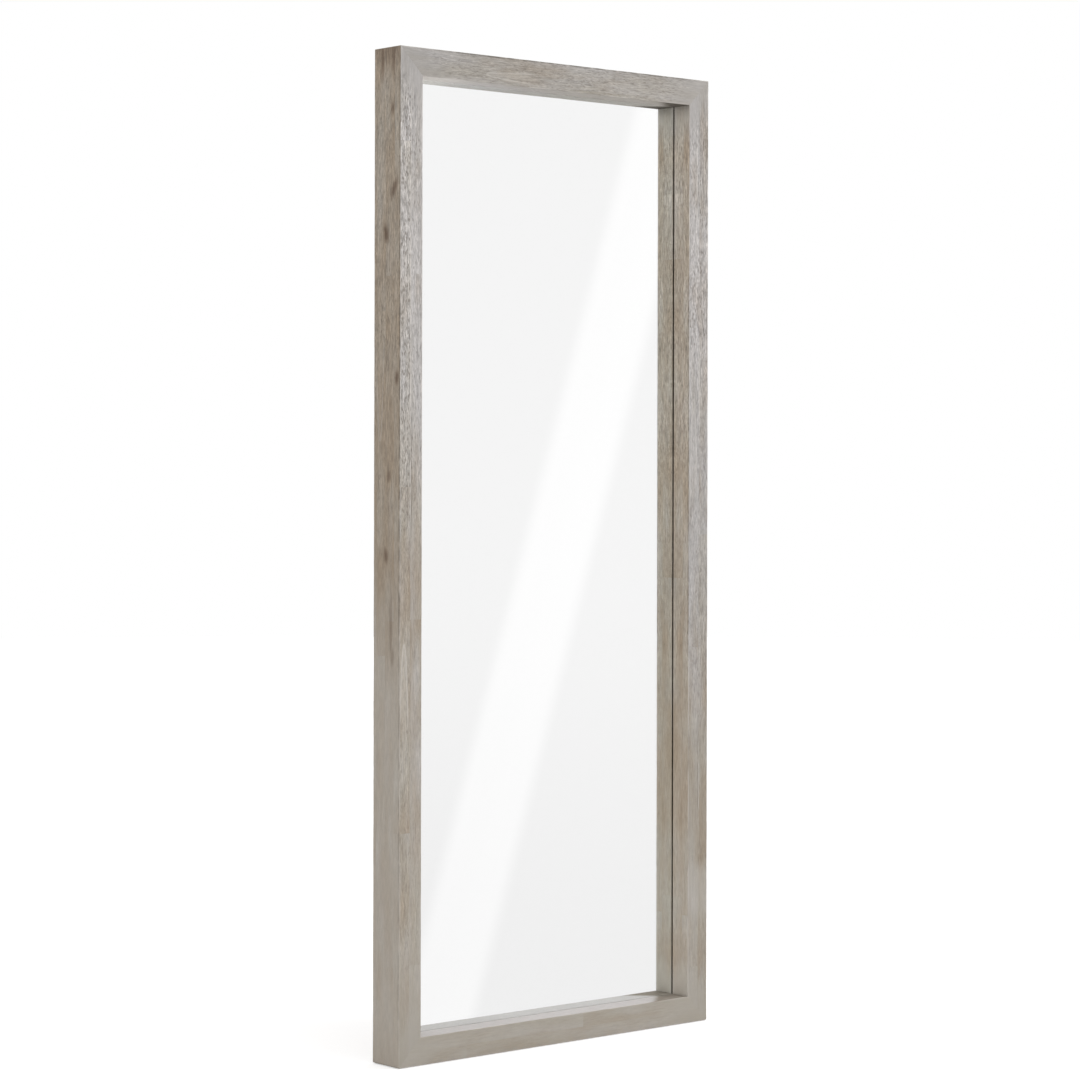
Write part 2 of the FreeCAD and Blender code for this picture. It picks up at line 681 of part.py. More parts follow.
def screw_hole(length):
    """The hole round such a screw, open above its head."""
    profile = screw_profile(length, get("screw_gap"))
    mouth = get("overrun")
    return turned([Vector(0, 0, mouth), Vector(profile[0].x, 0, mouth)] + profile)


def dowel(gap=0.0, end_gap=0.0):
    """A dowel along Z with its middle at zero, or with gaps the bore for it."""
    radius, length = get("dowel_diameter") / 2 + gap, get("dowel_length") + 2 * end_gap
    solid = Part.makeCylinder(radius, length, Vector(0, 0, -length / 2))
    if gap:
        return solid
    rims = [edge for edge in solid.Edges if isinstance(edge.Curve, Part.Circle)]
    return solid.makeChamfer(get("dowel_chamfer"), rims)


def driven(x, y, z, direction):
    """Where a screw's head is, and the way it is driven."""
    return Placement(Vector(x, y, z), Rotation(Vector(0, 0, -1), Vector(*direction)))


def spread(low, high, pitch):
    """Even places from low to high, no further apart than the pitch."""
    gaps = math.ceil((high - low) / pitch)
    return [low + (high - low) * number / gaps for number in range(gaps + 1)]


def brace_screw_places():
    """Two holes in each leg of each brace."""
    line, surface = get("brace_line"), get("back") + get("brace_thickness")
    places = []
    for across, up, _ in CORNERS.values():
        bottom = get("pad_proud") if up > 0 else get("top")
        for hole in (get("brace_near_hole"), get("brace_far_hole")):
            for inward, along in ((hole, line), (line, hole)):
                x, z = across * (get("side") - inward), bottom + up * along
                places.append(driven(x, surface, z, (0, -1, 0)))
    return places


def batten_screw_places():
    """Through each batten, sideways into the wood beside the rabbet."""
    y, end = get("batten_middle"), get("batten_screw_end")
    low, high = get("opening_bottom"), get("opening_top")
    inner = get("opening_width") / 2 - get("batten_width")
    reach = get("opening_width") / 2 - get("batten_screw_side")
    pitch = get("batten_screw_pitch")
    places = []
    for z in spread(low + end, high - end, pitch):
        for sign in (-1, 1):
            places.append(driven(sign * inner, y, z, (sign, 0, 0)))
    for x in spread(-reach, reach, pitch):
        places.append(driven(x, y, low + get("batten_width"), (0, 0, -1)))
        places.append(driven(x, y, high - get("batten_width"), (0, 0, 1)))
    return places


def bar_screw_places():
    """Two through each tongue of the cross bar into the side batten."""
    step = get("bar_height") / 4
    line, back = get("batten_line"), get("bar_back")
    return [
        driven(sign * line, back, get("middle") + up * step, (0, -1, 0))
        for sign in (-1, 1)
        for up in (-1, 1)
    ]


def hanger_screw_places():
    """Two through each hanger strap into the stile."""
    surface, first = get("back") + get("strap_thickness"), get("strap_screw_drop")
    return [
        driven(sign * get("wall_line"), surface, get("eye_axis") - drop, (0, -1, 0))
        for sign in (-1, 1)
        for drop in (first, first + get("strap_screw_pitch"))
    ]


def bumper_screw_places():
    """One through each wall bumper into the stile."""
    surface = get("back") + get("bumper_height") - get("bumper_well_depth")
    end = get("bumper_end")
    return [
        driven(sign * get("wall_line"), surface, z, (0, -1, 0))
        for sign in (-1, 1)
        for z in (get("pad_proud") + end, get("top") - end)
    ]


def dowel_places(corner):
    """Two dowels square to a mitre, one in the lip and one beside the rabbet."""
    across, up, _ = CORNERS[corner]
    inset = get("face_width") / 2
    bottom = get("pad_proud") if up > 0 else get("top")
    x, z = across * (get("side") - inset), bottom + up * inset
    turn = Rotation(Vector(0, 0, 1), Vector(across, 0, up))
    return [Placement(Vector(x, get(y), z), turn) for y in ("dowel_front", "dowel_rear")]


def group(label, shape, places):
    """A sub-part of like pieces, each its own solid."""
    feature = doc.addObject("Part::Feature", label)
    feature.Shape = Part.makeCompound([shape.transformed(p.toMatrix()) for p in places])
    return keep(feature, label)


def fasteners():
    """Makes the screws and dowels, and returns the shapes of all their holes and the pads' recesses."""
    cutters = []
    for label, length, places in (
        ("brace_screws", get("plate_screw_length"), brace_screw_places()),
        ("batten_screws", get("batten_screw_length"), batten_screw_places()),
        ("cross_bar_screws", get("lap_screw_length"), bar_screw_places()),
        ("hanger_screws", get("plate_screw_length"), hanger_screw_places()),
        ("bumper_screws", get("plate_screw_length"), bumper_screw_places()),
    ):
        group(label, screw(length), places)
        hole = screw_hole(length)
        cutters += [hole.transformed(p.toMatrix()) for p in places]
    bore = dowel(get("glue_gap"), get("dowel_end_gap"))
    for corner in CORNERS:
        places = dowel_places(corner)
        group(corner + "_dowels", dowel(), places)
        cutters += [bore.transformed(p.toMatrix()) for p in places]
    radius, overrun = get("pad_diameter") / 2 + get("pad_gap"), get("overrun")
    low, deep = get("pad_proud") - overrun, get("pad_recess") + overrun
    for sign in (-1, 1):
        for y in (get("front") + get("pad_face_inset"), get("back") - get("pad_face_inset")):
            corner = Vector(sign * (get("side") - get("pad_side_inset")), y, low)
            cutters.append(Part.makeCylinder(radius, deep, corner))
    feature = doc.addObject("Part::Feature", "fastener_holes")
    feature.Shape = Part.makeCompound(cutters)
    return feature


def check_and_export():
    """Stops if any object failed or any sub-part isn't sound, then writes each sub-part."""
    doc.recompute()
    for item in doc.Objects:
        if {"Invalid", "Error"} & set(item.State):
            raise ValueError(f"{item.Label} failed: {item.State}")
    for label, item in NODES.items():
        if item.Shape.isNull() or not item.Shape.isValid() or not item.Shape.Solids:
            raise ValueError(f"{label} has no sound solid")
    os.makedirs("parts", exist_ok=True)
    for label, item in NODES.items():
        item.Shape.exportStep(f"parts/{label}.step")
        print(f"{label}: {len(item.Shape.Solids)} solid(s), {item.Shape.Volume:.0f} mm3")
    whole = Part.makeCompound([item.Shape for item in NODES.values()]).BoundBox
    print(f"{len(NODES)} sub-parts, {whole.XLength:.1f} x {whole.YLength:.1f} x {whole.ZLength:.1f}")


fill_sheets()
holes = fasteners()
for name in MEMBERS:
    member(name)
mirror_glass()
glazing_tape()
setting_blocks()
backing_board()
battens()
cross_bar()
for name in CORNERS:
    corner_brace(name)
    wall_bumper(name)
for name, line in (("left", "-wall_line"), ("right", "wall_line")):
    hanger_strap(name, line)
    hanger_ring(name, line)
floor_pads()
check_and_export()
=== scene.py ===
"""Full-length standing mirror: a deep box frame of washed wood with a mirror glass set back in it.

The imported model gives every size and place. The four frame members and the glass are made again
here with their worn and polished surfaces, and the other pieces get their finishes. Lengths are
in metres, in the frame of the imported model: X across the mirror, Y from front to back, Z up.
"""

import json
import logging
import math
from collections.abc import Iterable, Iterator, Mapping, Sequence
from dataclasses import dataclass
from enum import Enum, IntEnum
from functools import cached_property, reduce

import bmesh
import bpy
from mathutils import Matrix, Quaternion, Vector, noise

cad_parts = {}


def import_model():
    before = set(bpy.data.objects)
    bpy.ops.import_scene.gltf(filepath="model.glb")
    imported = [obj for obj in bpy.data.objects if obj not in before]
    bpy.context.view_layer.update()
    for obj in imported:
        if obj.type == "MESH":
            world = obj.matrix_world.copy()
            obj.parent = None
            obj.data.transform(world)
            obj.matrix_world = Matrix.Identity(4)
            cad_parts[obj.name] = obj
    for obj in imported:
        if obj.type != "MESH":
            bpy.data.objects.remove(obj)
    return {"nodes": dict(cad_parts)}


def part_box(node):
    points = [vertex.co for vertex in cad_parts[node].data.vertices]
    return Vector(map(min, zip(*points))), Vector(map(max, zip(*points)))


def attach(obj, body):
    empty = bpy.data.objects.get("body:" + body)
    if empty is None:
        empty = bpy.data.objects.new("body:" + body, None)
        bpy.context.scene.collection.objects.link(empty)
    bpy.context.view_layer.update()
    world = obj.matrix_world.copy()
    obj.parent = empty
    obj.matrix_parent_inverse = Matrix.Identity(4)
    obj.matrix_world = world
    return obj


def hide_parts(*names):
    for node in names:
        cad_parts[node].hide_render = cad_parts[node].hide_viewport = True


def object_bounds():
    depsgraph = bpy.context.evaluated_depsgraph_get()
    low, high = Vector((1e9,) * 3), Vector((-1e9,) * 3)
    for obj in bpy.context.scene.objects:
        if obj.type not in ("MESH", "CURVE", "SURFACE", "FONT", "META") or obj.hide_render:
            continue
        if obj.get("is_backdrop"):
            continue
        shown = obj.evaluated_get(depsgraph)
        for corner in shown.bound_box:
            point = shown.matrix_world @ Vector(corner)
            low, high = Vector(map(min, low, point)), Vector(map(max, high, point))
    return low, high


LOG = logging.getLogger("standing_mirror")
MM = 0.001

Colour = tuple[float, float, float, float]
Socket = bpy.types.NodeSocket
Feed = Socket | float | Sequence[float]
Span = tuple[float, float]
WHITE: Colour = (1.0, 1.0, 1.0, 1.0)


def tone(red: float, green: float, blue: float) -> Colour:
    """A colour in scene-linear numbers from its sRGB numbers, 0 to 255."""
    shares = (number / 255 for number in (red, green, blue))
    return (*(s / 12.92 if s <= 0.04045 else ((s + 0.055) / 1.055) ** 2.4 for s in shares), 1.0)


def ease(value: float, low: float, high: float) -> float:
    """A smooth step: 0 below low, 1 above high."""
    share = min(1.0, max(0.0, (value - low) / (high - low)))
    return share * share * (3 - 2 * share)


class Graph:
    """A node tree, with short ways to add nodes and join them."""

    def __init__(self, tree: bpy.types.NodeTree) -> None:
        """Takes over a tree."""
        self.tree = tree

    def fill(self, node: bpy.types.Node, feeds: Mapping[str | int, Feed]) -> bpy.types.Node:
        """Fills a node's inputs.

        Args:
            node: the node.
            feeds: by an input's name or number, another node's output or a plain value.

        Returns:
            The node.
        """
        for key, feed in feeds.items():
            if isinstance(feed, bpy.types.NodeSocket):
                self.tree.links.new(feed, node.inputs[key])
            else:
                node.inputs[key].default_value = feed
        return node

    def add(
        self, kind: str, feeds: Mapping[str | int, Feed] | None = None, **settings: object
    ) -> bpy.types.Node:
        """Adds a node.

        Args:
            kind: Blender's name for the node's type.
            feeds: what goes into its inputs.
            settings: the node's own settings.

        Returns:
            The new node.
        """
        node = self.tree.nodes.new(kind)
        for name, value in settings.items():
            setattr(node, name, value)
        return self.fill(node, feeds or {})

    def math(self, operation: str, *values: Feed, clamp: bool = False) -> Socket:
        """A Math node's result, held from 0 to 1 if clamped."""
        node = self.add("ShaderNodeMath", dict(enumerate(values)), operation=operation, use_clamp=clamp)
        return node.outputs[0]

    def plus(self, first: Feed, second: Feed, clamp: bool = False) -> Socket:
        """The sum of two values."""
        return self.math("ADD", first, second, clamp=clamp)

    def minus(self, first: Feed, second: Feed, clamp: bool = False) -> Socket:
        """The first value less the second."""
        return self.math("SUBTRACT", first, second, clamp=clamp)

    def over(self, first: Feed, second: Feed) -> Socket:
        """The first value divided by the second."""
        return self.math("DIVIDE", first, second)

    def times(self, *values: Feed) -> Socket:
        """The product of all the values."""
        return reduce(lambda first, second: self.math("MULTIPLY", first, second), values)

    def vector(self, operation: str, *values: Feed) -> Socket:
        """A Vector Math node's vector."""
        return self.add("ShaderNodeVectorMath", dict(enumerate(values)), operation=operation).outputs[0]

    def scaled(self, vector: Feed, factor: Feed) -> Socket:
        """A vector made longer by a factor."""
        return self.add("ShaderNodeVectorMath", {0: vector, "Scale": factor}, operation="SCALE").outputs[0]

    def split(self, vector: Feed) -> tuple[Socket, Socket, Socket]:
        """The three parts of a vector."""
        return tuple(self.add("ShaderNodeSeparateXYZ", {0: vector}).outputs)

    def join(self, x: Feed, y: Feed, z: Feed) -> Socket:
        """A vector from its three parts."""
        return self.add("ShaderNodeCombineXYZ", {0: x, 1: y, 2: z}).outputs[0]

    def remap(
        self,
        value: Feed,
        low: float,
        high: float,
        to_low: float = 0.0,
        to_high: float = 1.0,
        kind: str = "LINEAR",
    ) -> Socket:
        """Moves a value from the range low to high into another one and holds it there."""
        feeds = {0: value, 1: low, 2: high, 3: to_low, 4: to_high}
        return self.add("ShaderNodeMapRange", feeds, interpolation_type=kind).outputs[0]

    def noise(self, position: Feed, detail: float = 2.0, rough: float = 0.5) -> Socket:
        """Smooth noise from 0 to 1, whose lumps are about one unit of the position across."""
        feeds = {"Vector": position, "Scale": 1.0, "Detail": detail, "Roughness": rough}
        return self.add("ShaderNodeTexNoise", feeds).outputs[0]

    def blend(self, share: Feed, first: Feed, second: Feed, kind: str = "MIX") -> Socket:
        """Mixes a share of the second colour into the first."""
        settings = {"data_type": "RGBA", "blend_type": kind, "clamp_factor": True}
        return self.add("ShaderNodeMix", {0: share, 6: first, 7: second}, **settings).outputs[2]

    def bump(self, strength: float, distance: float, height: Feed) -> Socket:
        """A normal bent by a height, which is worth a distance in metres."""
        feeds = {"Strength": strength, "Distance": distance, "Height": height}
        return self.add("ShaderNodeBump", feeds).outputs[0]

    def mask(self, name: str) -> Socket:
        """A mask that a piece's mesh carries as an attribute."""
        return self.add("ShaderNodeAttribute", attribute_name=name).outputs["Fac"]

    def place(self) -> Socket:
        """The point on the piece."""
        return self.add("ShaderNodeTexCoord").outputs["Object"]

    def group(self, tree: bpy.types.ShaderNodeTree, feeds: Mapping[str, Feed]) -> bpy.types.NodeOutputs:
        """The outputs of a node group, placed here."""
        return self.add("ShaderNodeGroup", feeds, node_tree=tree).outputs


class Grain(Enum):
    """Which way the grain of a wooden piece runs."""

    UPRIGHT = "upright"
    LEVEL = "level"

    def position(self, graph: Graph) -> Socket:
        """The point on the piece with the grain along Z.

        Args:
            graph: the material's tree.

        Returns:
            The point's vector.
        """
        if self is Grain.UPRIGHT:
            return graph.place()
        x, y, z = graph.split(graph.place())
        return graph.join(z, y, x)


# Effects that several finishes share


class EffectGroup(Graph):
    """A shader node group that is being built."""

    def __init__(self, name: str, inputs: Mapping[str, float | None]) -> None:
        """Starts the group.

        Args:
            name: its name.
            inputs: each input's name and starting value, which is None for a vector.
        """
        super().__init__(bpy.data.node_groups.new(name, "ShaderNodeTree"))
        for label, value in inputs.items():
            kind = "NodeSocketVector" if value is None else "NodeSocketFloat"
            socket = self.tree.interface.new_socket(label, in_out="INPUT", socket_type=kind)
            if value is not None:
                socket.default_value = value
        self.inputs = self.add("NodeGroupInput").outputs

    def finish(self, outputs: Mapping[str, Socket]) -> bpy.types.ShaderNodeTree:
        """Gives the group its outputs.

        Args:
            outputs: what each named output puts out.

        Returns:
            The group's tree.
        """
        for label, value in outputs.items():
            kind = "NodeSocketVector" if value.type == "VECTOR" else "NodeSocketFloat"
            self.tree.interface.new_socket(label, in_out="OUTPUT", socket_type=kind)
        self.fill(self.add("NodeGroupOutput"), outputs)
        return self.tree


class Effects:
    """The node groups, each built when a finish first asks for it."""

    @cached_property
    def staves(self) -> bpy.types.ShaderNodeTree:
        """Glued-up staves: each has its own tone and its own piece of the grain."""
        inputs = {"Position": None, "Width": 0.0255, "Length": 0.6, "Joint": 0.0004}
        group = EffectGroup("glued_staves", inputs)
        position, width, length, joint = (group.inputs[label] for label in inputs)
        x, y, z = group.split(position)
        column, row = (group.math("FLOOR", group.over(part, width)) for part in (x, y))
        strip = group.join(column, row, 0.0)
        start_at = group.add("ShaderNodeTexWhiteNoise", {"Vector": strip}).outputs["Value"]
        run = group.plus(group.over(z, length), start_at)
        stave = group.join(column, row, group.math("FLOOR", run))
        pick = group.add("ShaderNodeTexWhiteNoise", {"Vector": stave}).outputs
        along = group.times(group.math("FRACT", run), length)
        across, deep = (
            group.times(group.math("FRACT", group.over(part, width)), width) for part in (x, y)
        )
        nearest = group.math("MINIMUM", group.math("MINIMUM", across, deep), along)
        seam = group.minus(1.0, group.over(nearest, joint), clamp=True)
        moved = group.vector("ADD", position, pick["Color"])
        return group.finish({"Position": moved, "Tone": pick["Value"], "Joint": seam})

    @cached_property
    def grain(self) -> bpy.types.ShaderNodeTree:
        """Wood grain along Z: patches of tone, streaks, fibres, flecks and pores."""
        inputs = {"Position": None, "Drift": 0.004, "Fleck density": 0.5}
        group = EffectGroup("wood_grain", inputs)
        position, drift, fleck_density = (group.inputs[label] for label in inputs)
        wander = group.vector("MULTIPLY", position, (18.0, 18.0, 5.0))
        feeds = {"Vector": wander, "Scale": 1.0, "Detail": 1.0}
        turn = group.add("ShaderNodeTexNoise", feeds).outputs["Color"]
        shift = group.vector("MULTIPLY", group.vector("SUBTRACT", turn, (0.5, 0.5, 0.5)), (1.0, 1.0, 0.0))
        bent = group.vector("ADD", position, group.scaled(shift, drift))

        def lumps(across: float, along: float) -> Socket:
            """The point in lumps of that size in metres across and along the grain."""
            return group.vector("MULTIPLY", bent, (1 / across, 1 / across, 1 / along))

        def layer(across: float, along: float, detail: float, rough: float = 0.5) -> Socket:
            """Noise with lumps of that size."""
            return group.noise(lumps(across, along), detail, rough)

        cells = group.add("ShaderNodeTexVoronoi", {"Vector": lumps(0.0022, 0.0085), "Scale": 1.0}).outputs
        heart = group.remap(cells["Distance"], 0.28, 0.52, 1.0, 0.0)
        pick = group.split(cells["Color"])[0]
        crowd = group.remap(layer(0.02, 0.12, 1.0), 0.35, 0.65, 0.3, 0.7)
        density = group.times(fleck_density, crowd)

        def flecks(chance: Socket) -> Socket:
            """The cells whose chance is under the density, soft at their edges."""
            picked = group.math("MULTIPLY", group.minus(density, chance), 5.0, clamp=True)
            return group.times(picked, heart)

        return group.finish(
            {
                "Patches": layer(0.024, 0.17, 3.0),
                "Blush": layer(0.033, 0.14, 2.0),
                "Streaks": layer(0.0048, 0.11, 3.0, 0.55),
                "Fibres": layer(0.0020, 0.019, 4.0, 0.72),
                "Flecks": flecks(pick),
                "Pale flecks": flecks(group.minus(1.0, pick)),
                "Pores": group.remap(layer(0.0006, 0.006, 1.0), 0.6, 0.7),
            }
        )

    @cached_property
    def mottle(self) -> bpy.types.ShaderNodeTree:
        """Cloudy unevenness and fine speckle for plates, rubber, board and felt."""
        inputs = {"Cloud size": 0.01, "Speckle size": 0.001}
        group = EffectGroup("mottle", inputs)
        place = group.place()
        clouds, speckle = (
            group.noise(group.scaled(place, group.over(1.0, group.inputs[label])), 3.0, 0.6)
            for label in inputs
        )
        return group.finish({"Clouds": clouds, "Speckle": speckle})


# Finishes


def new_material(name: str, **plain: object) -> tuple[bpy.types.Material, Graph, bpy.types.Node]:
    """A material with a Principled shader.

    Args:
        name: the material's name.
        plain: values set on the shader's own sockets, with _ for a space.

    Returns:
        The material, a graph on its tree and the shader.
    """
    material = bpy.data.materials.new(name)
    material.use_nodes = True
    shader = material.node_tree.nodes["Principled BSDF"]
    for label, value in plain.items():
        shader.inputs[label.replace("_", " ")].default_value = value
    return material, Graph(material.node_tree), shader


@dataclass(frozen=True)
class WashedWood:
    """Weathered hardwood, wire-brushed and lime-washed, glued up from staves.

    The numbers from patches to seams say how strongly each part of the grain shows.
    """

    olive: Colour = tone(170, 163, 152)
    # the lime wash; at the left end of the top rail's underside, also a painted highlight
    cool: Colour = tone(185, 181, 179)
    brown: Colour = tone(154, 138, 119)
    grey: Colour = tone(116, 113, 108)
    fleck: Colour = tone(100, 90, 79)
    # bleached and rubbed wood; at the left end of the top rail's underside, also a painted highlight
    pale: Colour = tone(216, 211, 205)
    knot: Colour = tone(98, 79, 64)
    # dark seam lines, and painted shade beside arrises and in the inner corners
    stain_and_shade_colour: Colour = tone(66, 60, 52)
    stave_width: float = 0.0255
    stave_length: float = 0.62
    patches: float = 0.45
    blush: float = 0.5
    stave_tones: float = 0.09
    fibres: float = 2.4
    streaks: float = 0.55
    pale_flecks: float = 0.22
    dark_flecks: float = 0.5
    pores: float = 0.6
    seams: float = 0.2
    relief: float = 0.0005

    def build(self, effects: Effects, grain: Grain) -> bpy.types.Material:
        """Makes the material.

        Args:
            effects: the shared node groups.
            grain: which way the grain runs.

        Returns:
            The material.
        """
        material, graph, shader = new_material(f"washed_wood_{grain.value}", Specular_IOR_Level=0.25)
        sizes = {"Position": grain.position(graph), "Width": self.stave_width, "Length": self.stave_length}
        staves = graph.group(effects.staves, sizes)
        feeds = {"Position": staves["Position"], "Fleck density": graph.mask("speckle")}
        figure = graph.group(effects.grain, feeds)
        brush = graph.mask("brush")
        varied = graph.plus(0.4, brush, clamp=True)

        def swing(label: str, reach: float) -> Socket:
            """How far a layer of the grain moves the tone, less where the grain is closed."""
            return graph.times(graph.remap(figure[label], 0.25, 0.75, -reach, reach), varied)

        own = graph.remap(staves["Tone"], 0.0, 1.0, -self.stave_tones, self.stave_tones)
        moved = graph.plus(swing("Patches", self.patches), own)
        fibres = graph.times(graph.minus(figure["Fibres"], 0.5), self.fibres)
        streaks = graph.times(graph.minus(figure["Streaks"], 0.5), self.streaks)
        light = graph.times(figure["Pale flecks"], self.pale_flecks)
        shade = graph.plus(1.0, graph.times(graph.plus(graph.plus(fibres, streaks), light), brush))
        holes = graph.math("MAXIMUM", figure["Flecks"], graph.times(figure["Pores"], self.pores))
        colour = self.olive
        for share, over, kind in (
            # the wash, and a painted highlight on the top rail's underside
            (graph.plus(graph.mask("cool"), moved, clamp=True), self.cool, "MIX"),
            (graph.plus(graph.mask("brown"), swing("Blush", self.blush), clamp=True), self.brown, "MIX"),
            (graph.mask("grey"), self.grey, "MIX"),
            (1.0, graph.join(shade, shade, shade), "MULTIPLY"),
            (graph.times(holes, brush, self.dark_flecks), self.fleck, "MIX"),
            (graph.times(staves["Joint"], brush, self.seams), self.fleck, "MIX"),
            # wear, and a painted highlight on the top rail's underside
            (graph.mask("wear"), self.pale, "MIX"),
            (graph.mask("knot"), self.knot, "MIX"),
            # dark seam lines, and painted shade beside arrises and in the inner corners
            (graph.mask("stain_and_shade"), self.stain_and_shade_colour, "MIX"),
        ):
            colour = graph.blend(share, colour, over, kind)
        ridges = graph.plus(figure["Fibres"], graph.times(figure["Streaks"], 0.8))
        height = graph.times(graph.minus(ridges, graph.times(holes, 0.4)), brush)
        rough = graph.remap(figure["Fibres"], 0.3, 0.7, 0.84, 0.68)
        bent = graph.bump(0.8, self.relief, height)
        graph.fill(shader, {"Base Color": colour, "Roughness": rough, "Normal": bent})
        return material


@dataclass(frozen=True)
class PlainWood:
    """Planed wood that isn't washed, for what holds the glass from behind."""

    name: str = "planed_wood"
    early: Colour = tone(205, 181, 143)
    late: Colour = tone(171, 138, 96)
    relief: float = 0.0002

    def build(self, effects: Effects, grain: Grain) -> bpy.types.Material:
        """Makes the material.

        Args:
            effects: the shared node groups.
            grain: which way the grain runs.

        Returns:
            The material.
        """
        material, graph, shader = new_material(f"{self.name}_{grain.value}", Roughness=0.62)
        feeds = {"Position": grain.position(graph), "Drift": 0.008, "Fleck density": 0.2}
        figure = graph.group(effects.grain, feeds)
        patches = graph.remap(figure["Patches"], 0.3, 0.7, -0.3, 0.3)
        rings = graph.plus(graph.remap(figure["Streaks"], 0.36, 0.66), patches, clamp=True)
        colour = graph.blend(rings, self.early, self.late)
        colour = graph.blend(graph.times(figure["Pores"], 0.3), colour, self.late)
        height = graph.plus(figure["Streaks"], graph.times(figure["Fibres"], 0.4))
        graph.fill(shader, {"Base Color": colour, "Normal": graph.bump(0.5, self.relief, height)})
        return material


@dataclass(frozen=True)
class Mottled:
    """A plain stuff whose tone and roughness vary a little, such as plate, rubber, board or felt."""

    name: str
    dark: Colour
    light: Colour
    metallic: float = 0.0
    smooth: float = 0.4
    rough: float = 0.6
    cloud: float = 0.012
    speckle: float = 0.0008
    relief: float = 0.00005

    def build(self, effects: Effects) -> bpy.types.Material:
        """Makes the material.

        Args:
            effects: the shared node groups.

        Returns:
            The material.
        """
        material, graph, shader = new_material(self.name, Metallic=self.metallic)
        sizes = {"Cloud size": self.cloud, "Speckle size": self.speckle}
        spots = graph.group(effects.mottle, sizes)
        both = graph.plus(spots["Clouds"], graph.times(spots["Speckle"], 0.6))
        colour = graph.blend(graph.remap(both, 0.55, 1.05), self.dark, self.light)
        rough = graph.remap(spots["Clouds"], 0.3, 0.7, self.smooth, self.rough)
        bent = graph.bump(0.6, self.relief, spots["Speckle"])
        graph.fill(shader, {"Base Color": colour, "Roughness": rough, "Normal": bent})
        return material


@dataclass(frozen=True)
class Glass:
    """Clear float glass, and the silver on its back as seen through it."""

    index: float = 1.52
    body: Colour = WHITE
    silver: Colour = (0.97, 1.0, 1.0, 1.0)
    edge: Mottled = Mottled("ground_edge", tone(96, 112, 106), tone(120, 138, 130), smooth=0.5, rough=0.7)

    def build(self, effects: Effects) -> tuple[bpy.types.Material, ...]:
        """Makes the pane's three materials.

        Args:
            effects: the shared node groups.

        Returns:
            The polished front, the silvered back and the ground edges.
        """
        clear = {"Base_Color": self.body, "Roughness": 0.0, "IOR": self.index, "Transmission_Weight": 1.0}
        front = new_material("clear_glass", **clear)[0]
        back = new_material("silvering", Base_Color=self.silver, Metallic=1.0, Roughness=0.0)[0]
        return front, back, self.edge.build(effects)


# How the frame has weathered, and the light and shade painted on it


class Side(Enum):
    """The flat sides of a member's section, in the order in which the section is drawn."""

    FRONT = "front"
    INNER = "inner"
    LIP = "lip"
    WALL = "wall"
    BACK = "back"
    OUTER = "outer"

    @property
    def number(self) -> int:
        """The side's place in that order."""
        return list(Side).index(self)


@dataclass(frozen=True)
class Knot:
    """A knot or brown streak: its place along and across the side, half its size and its darkness.

    Lean is how far it drifts across for each metre along, and sunk is how deep its heart lies.
    """

    along: float
    across: float
    length: float
    width: float
    dark: float
    lean: float = 0.0
    sunk: float = 0.0004

    def share(self, along: float, across: float) -> float:
        """How strongly the knot shows at a point: 1 at its heart, 0 outside it."""
        up, aside = along - self.along, across - self.across - self.lean * (along - self.along)
        return 1 - ease(math.hypot(up / self.length, aside / self.width), 0.2, 1.0)


@dataclass(frozen=True)
class Arch:
    """A pointed arch of pale grain, as a flat-sawn stave shows.

    Root and tip are places along the member, middle and half width lie across the side, and line
    is how thick its outline is.
    """

    root: float
    tip: float
    middle: float
    half_width: float
    pale: float
    line: float = 0.0016

    def share(self, along: float, across: float) -> float:
        """How pale the arch makes a point.

        Args:
            along: distance along the member.
            across: distance across the side.

        Returns:
            Up to the arch's paleness on its outline, less inside it, 0 elsewhere.
        """
        rise = (along - self.root) / (self.tip - self.root)
        if not 0 < rise < 1:
            return 0.0
        edge = self.half_width * math.sqrt(1 - rise) - abs(across - self.middle)
        inside = 0.35 * ease(edge, -self.line, self.line)
        return self.pale * ease(rise, 0.0, 0.3) * max(inside, math.exp(-((edge / self.line) ** 2)))


@dataclass(frozen=True)
class Line:
    """A thin broken line along the grain, beside an arris or a seam, that fades at both ends; a dark one
    beside an arris is painted shade.
    """

    start: float
    end: float
    across: float
    half_width: float
    strong: float
    fade: float = 0.05

    def share(self, along: float, across: float) -> float:
        """How strongly the line marks a point.

        Args:
            along: distance along the member.
            across: distance across the side.

        Returns:
            Up to the line's strength on the line, 0 away from it.
        """
        begun = ease(along, self.start, self.start + self.fade)
        ended = ease(along, self.end - self.fade, self.end)
        near = 1 - ease(abs(across - self.across), self.half_width / 2, self.half_width)
        return self.strong * (begun * (1 - ended)) * near


@dataclass(frozen=True)
class PaintedCornerShade:
    """The end of an inner side, painted dark: painted shade in the corner where it meets the next member.

    Its edge is a place along the member, soft to both sides by that distance and moved by the slant
    for each metre across. Dark is how dark the painted shade is, and bare is how far it takes the
    wash out and lets the brown through there.
    """

    edge: float
    soft: float
    slant: float
    dark: float
    bare: float

    def share(self, along: float, across: float) -> float:
        """How far inside the dark end a point is: 1 past its slanting edge, 0 before it."""
        return ease(along - self.slant * across, self.edge - self.soft, self.edge + self.soft)


Profile = tuple[Span, ...]


def steady(value: float) -> Profile:
    """A value that is the same all along a member."""
    return ((0.0, value), (1.0, value))


def level(profile: Profile, share: float) -> float:
    """Reads a value that changes along a member.

    Args:
        profile: pairs of a share of the member's length and the value there.
        share: the share at which to read it.

    Returns:
        The value.
    """
    for (start, low), (end, high) in zip(profile, profile[1:]):
        if share <= end:
            return low + (high - low) * ease(share, start, end)
    return profile[-1][1]


def strongest(values: Iterable[float]) -> float:
    """The largest of some values, or 0 where there are none."""
    return max(values, default=0.0)


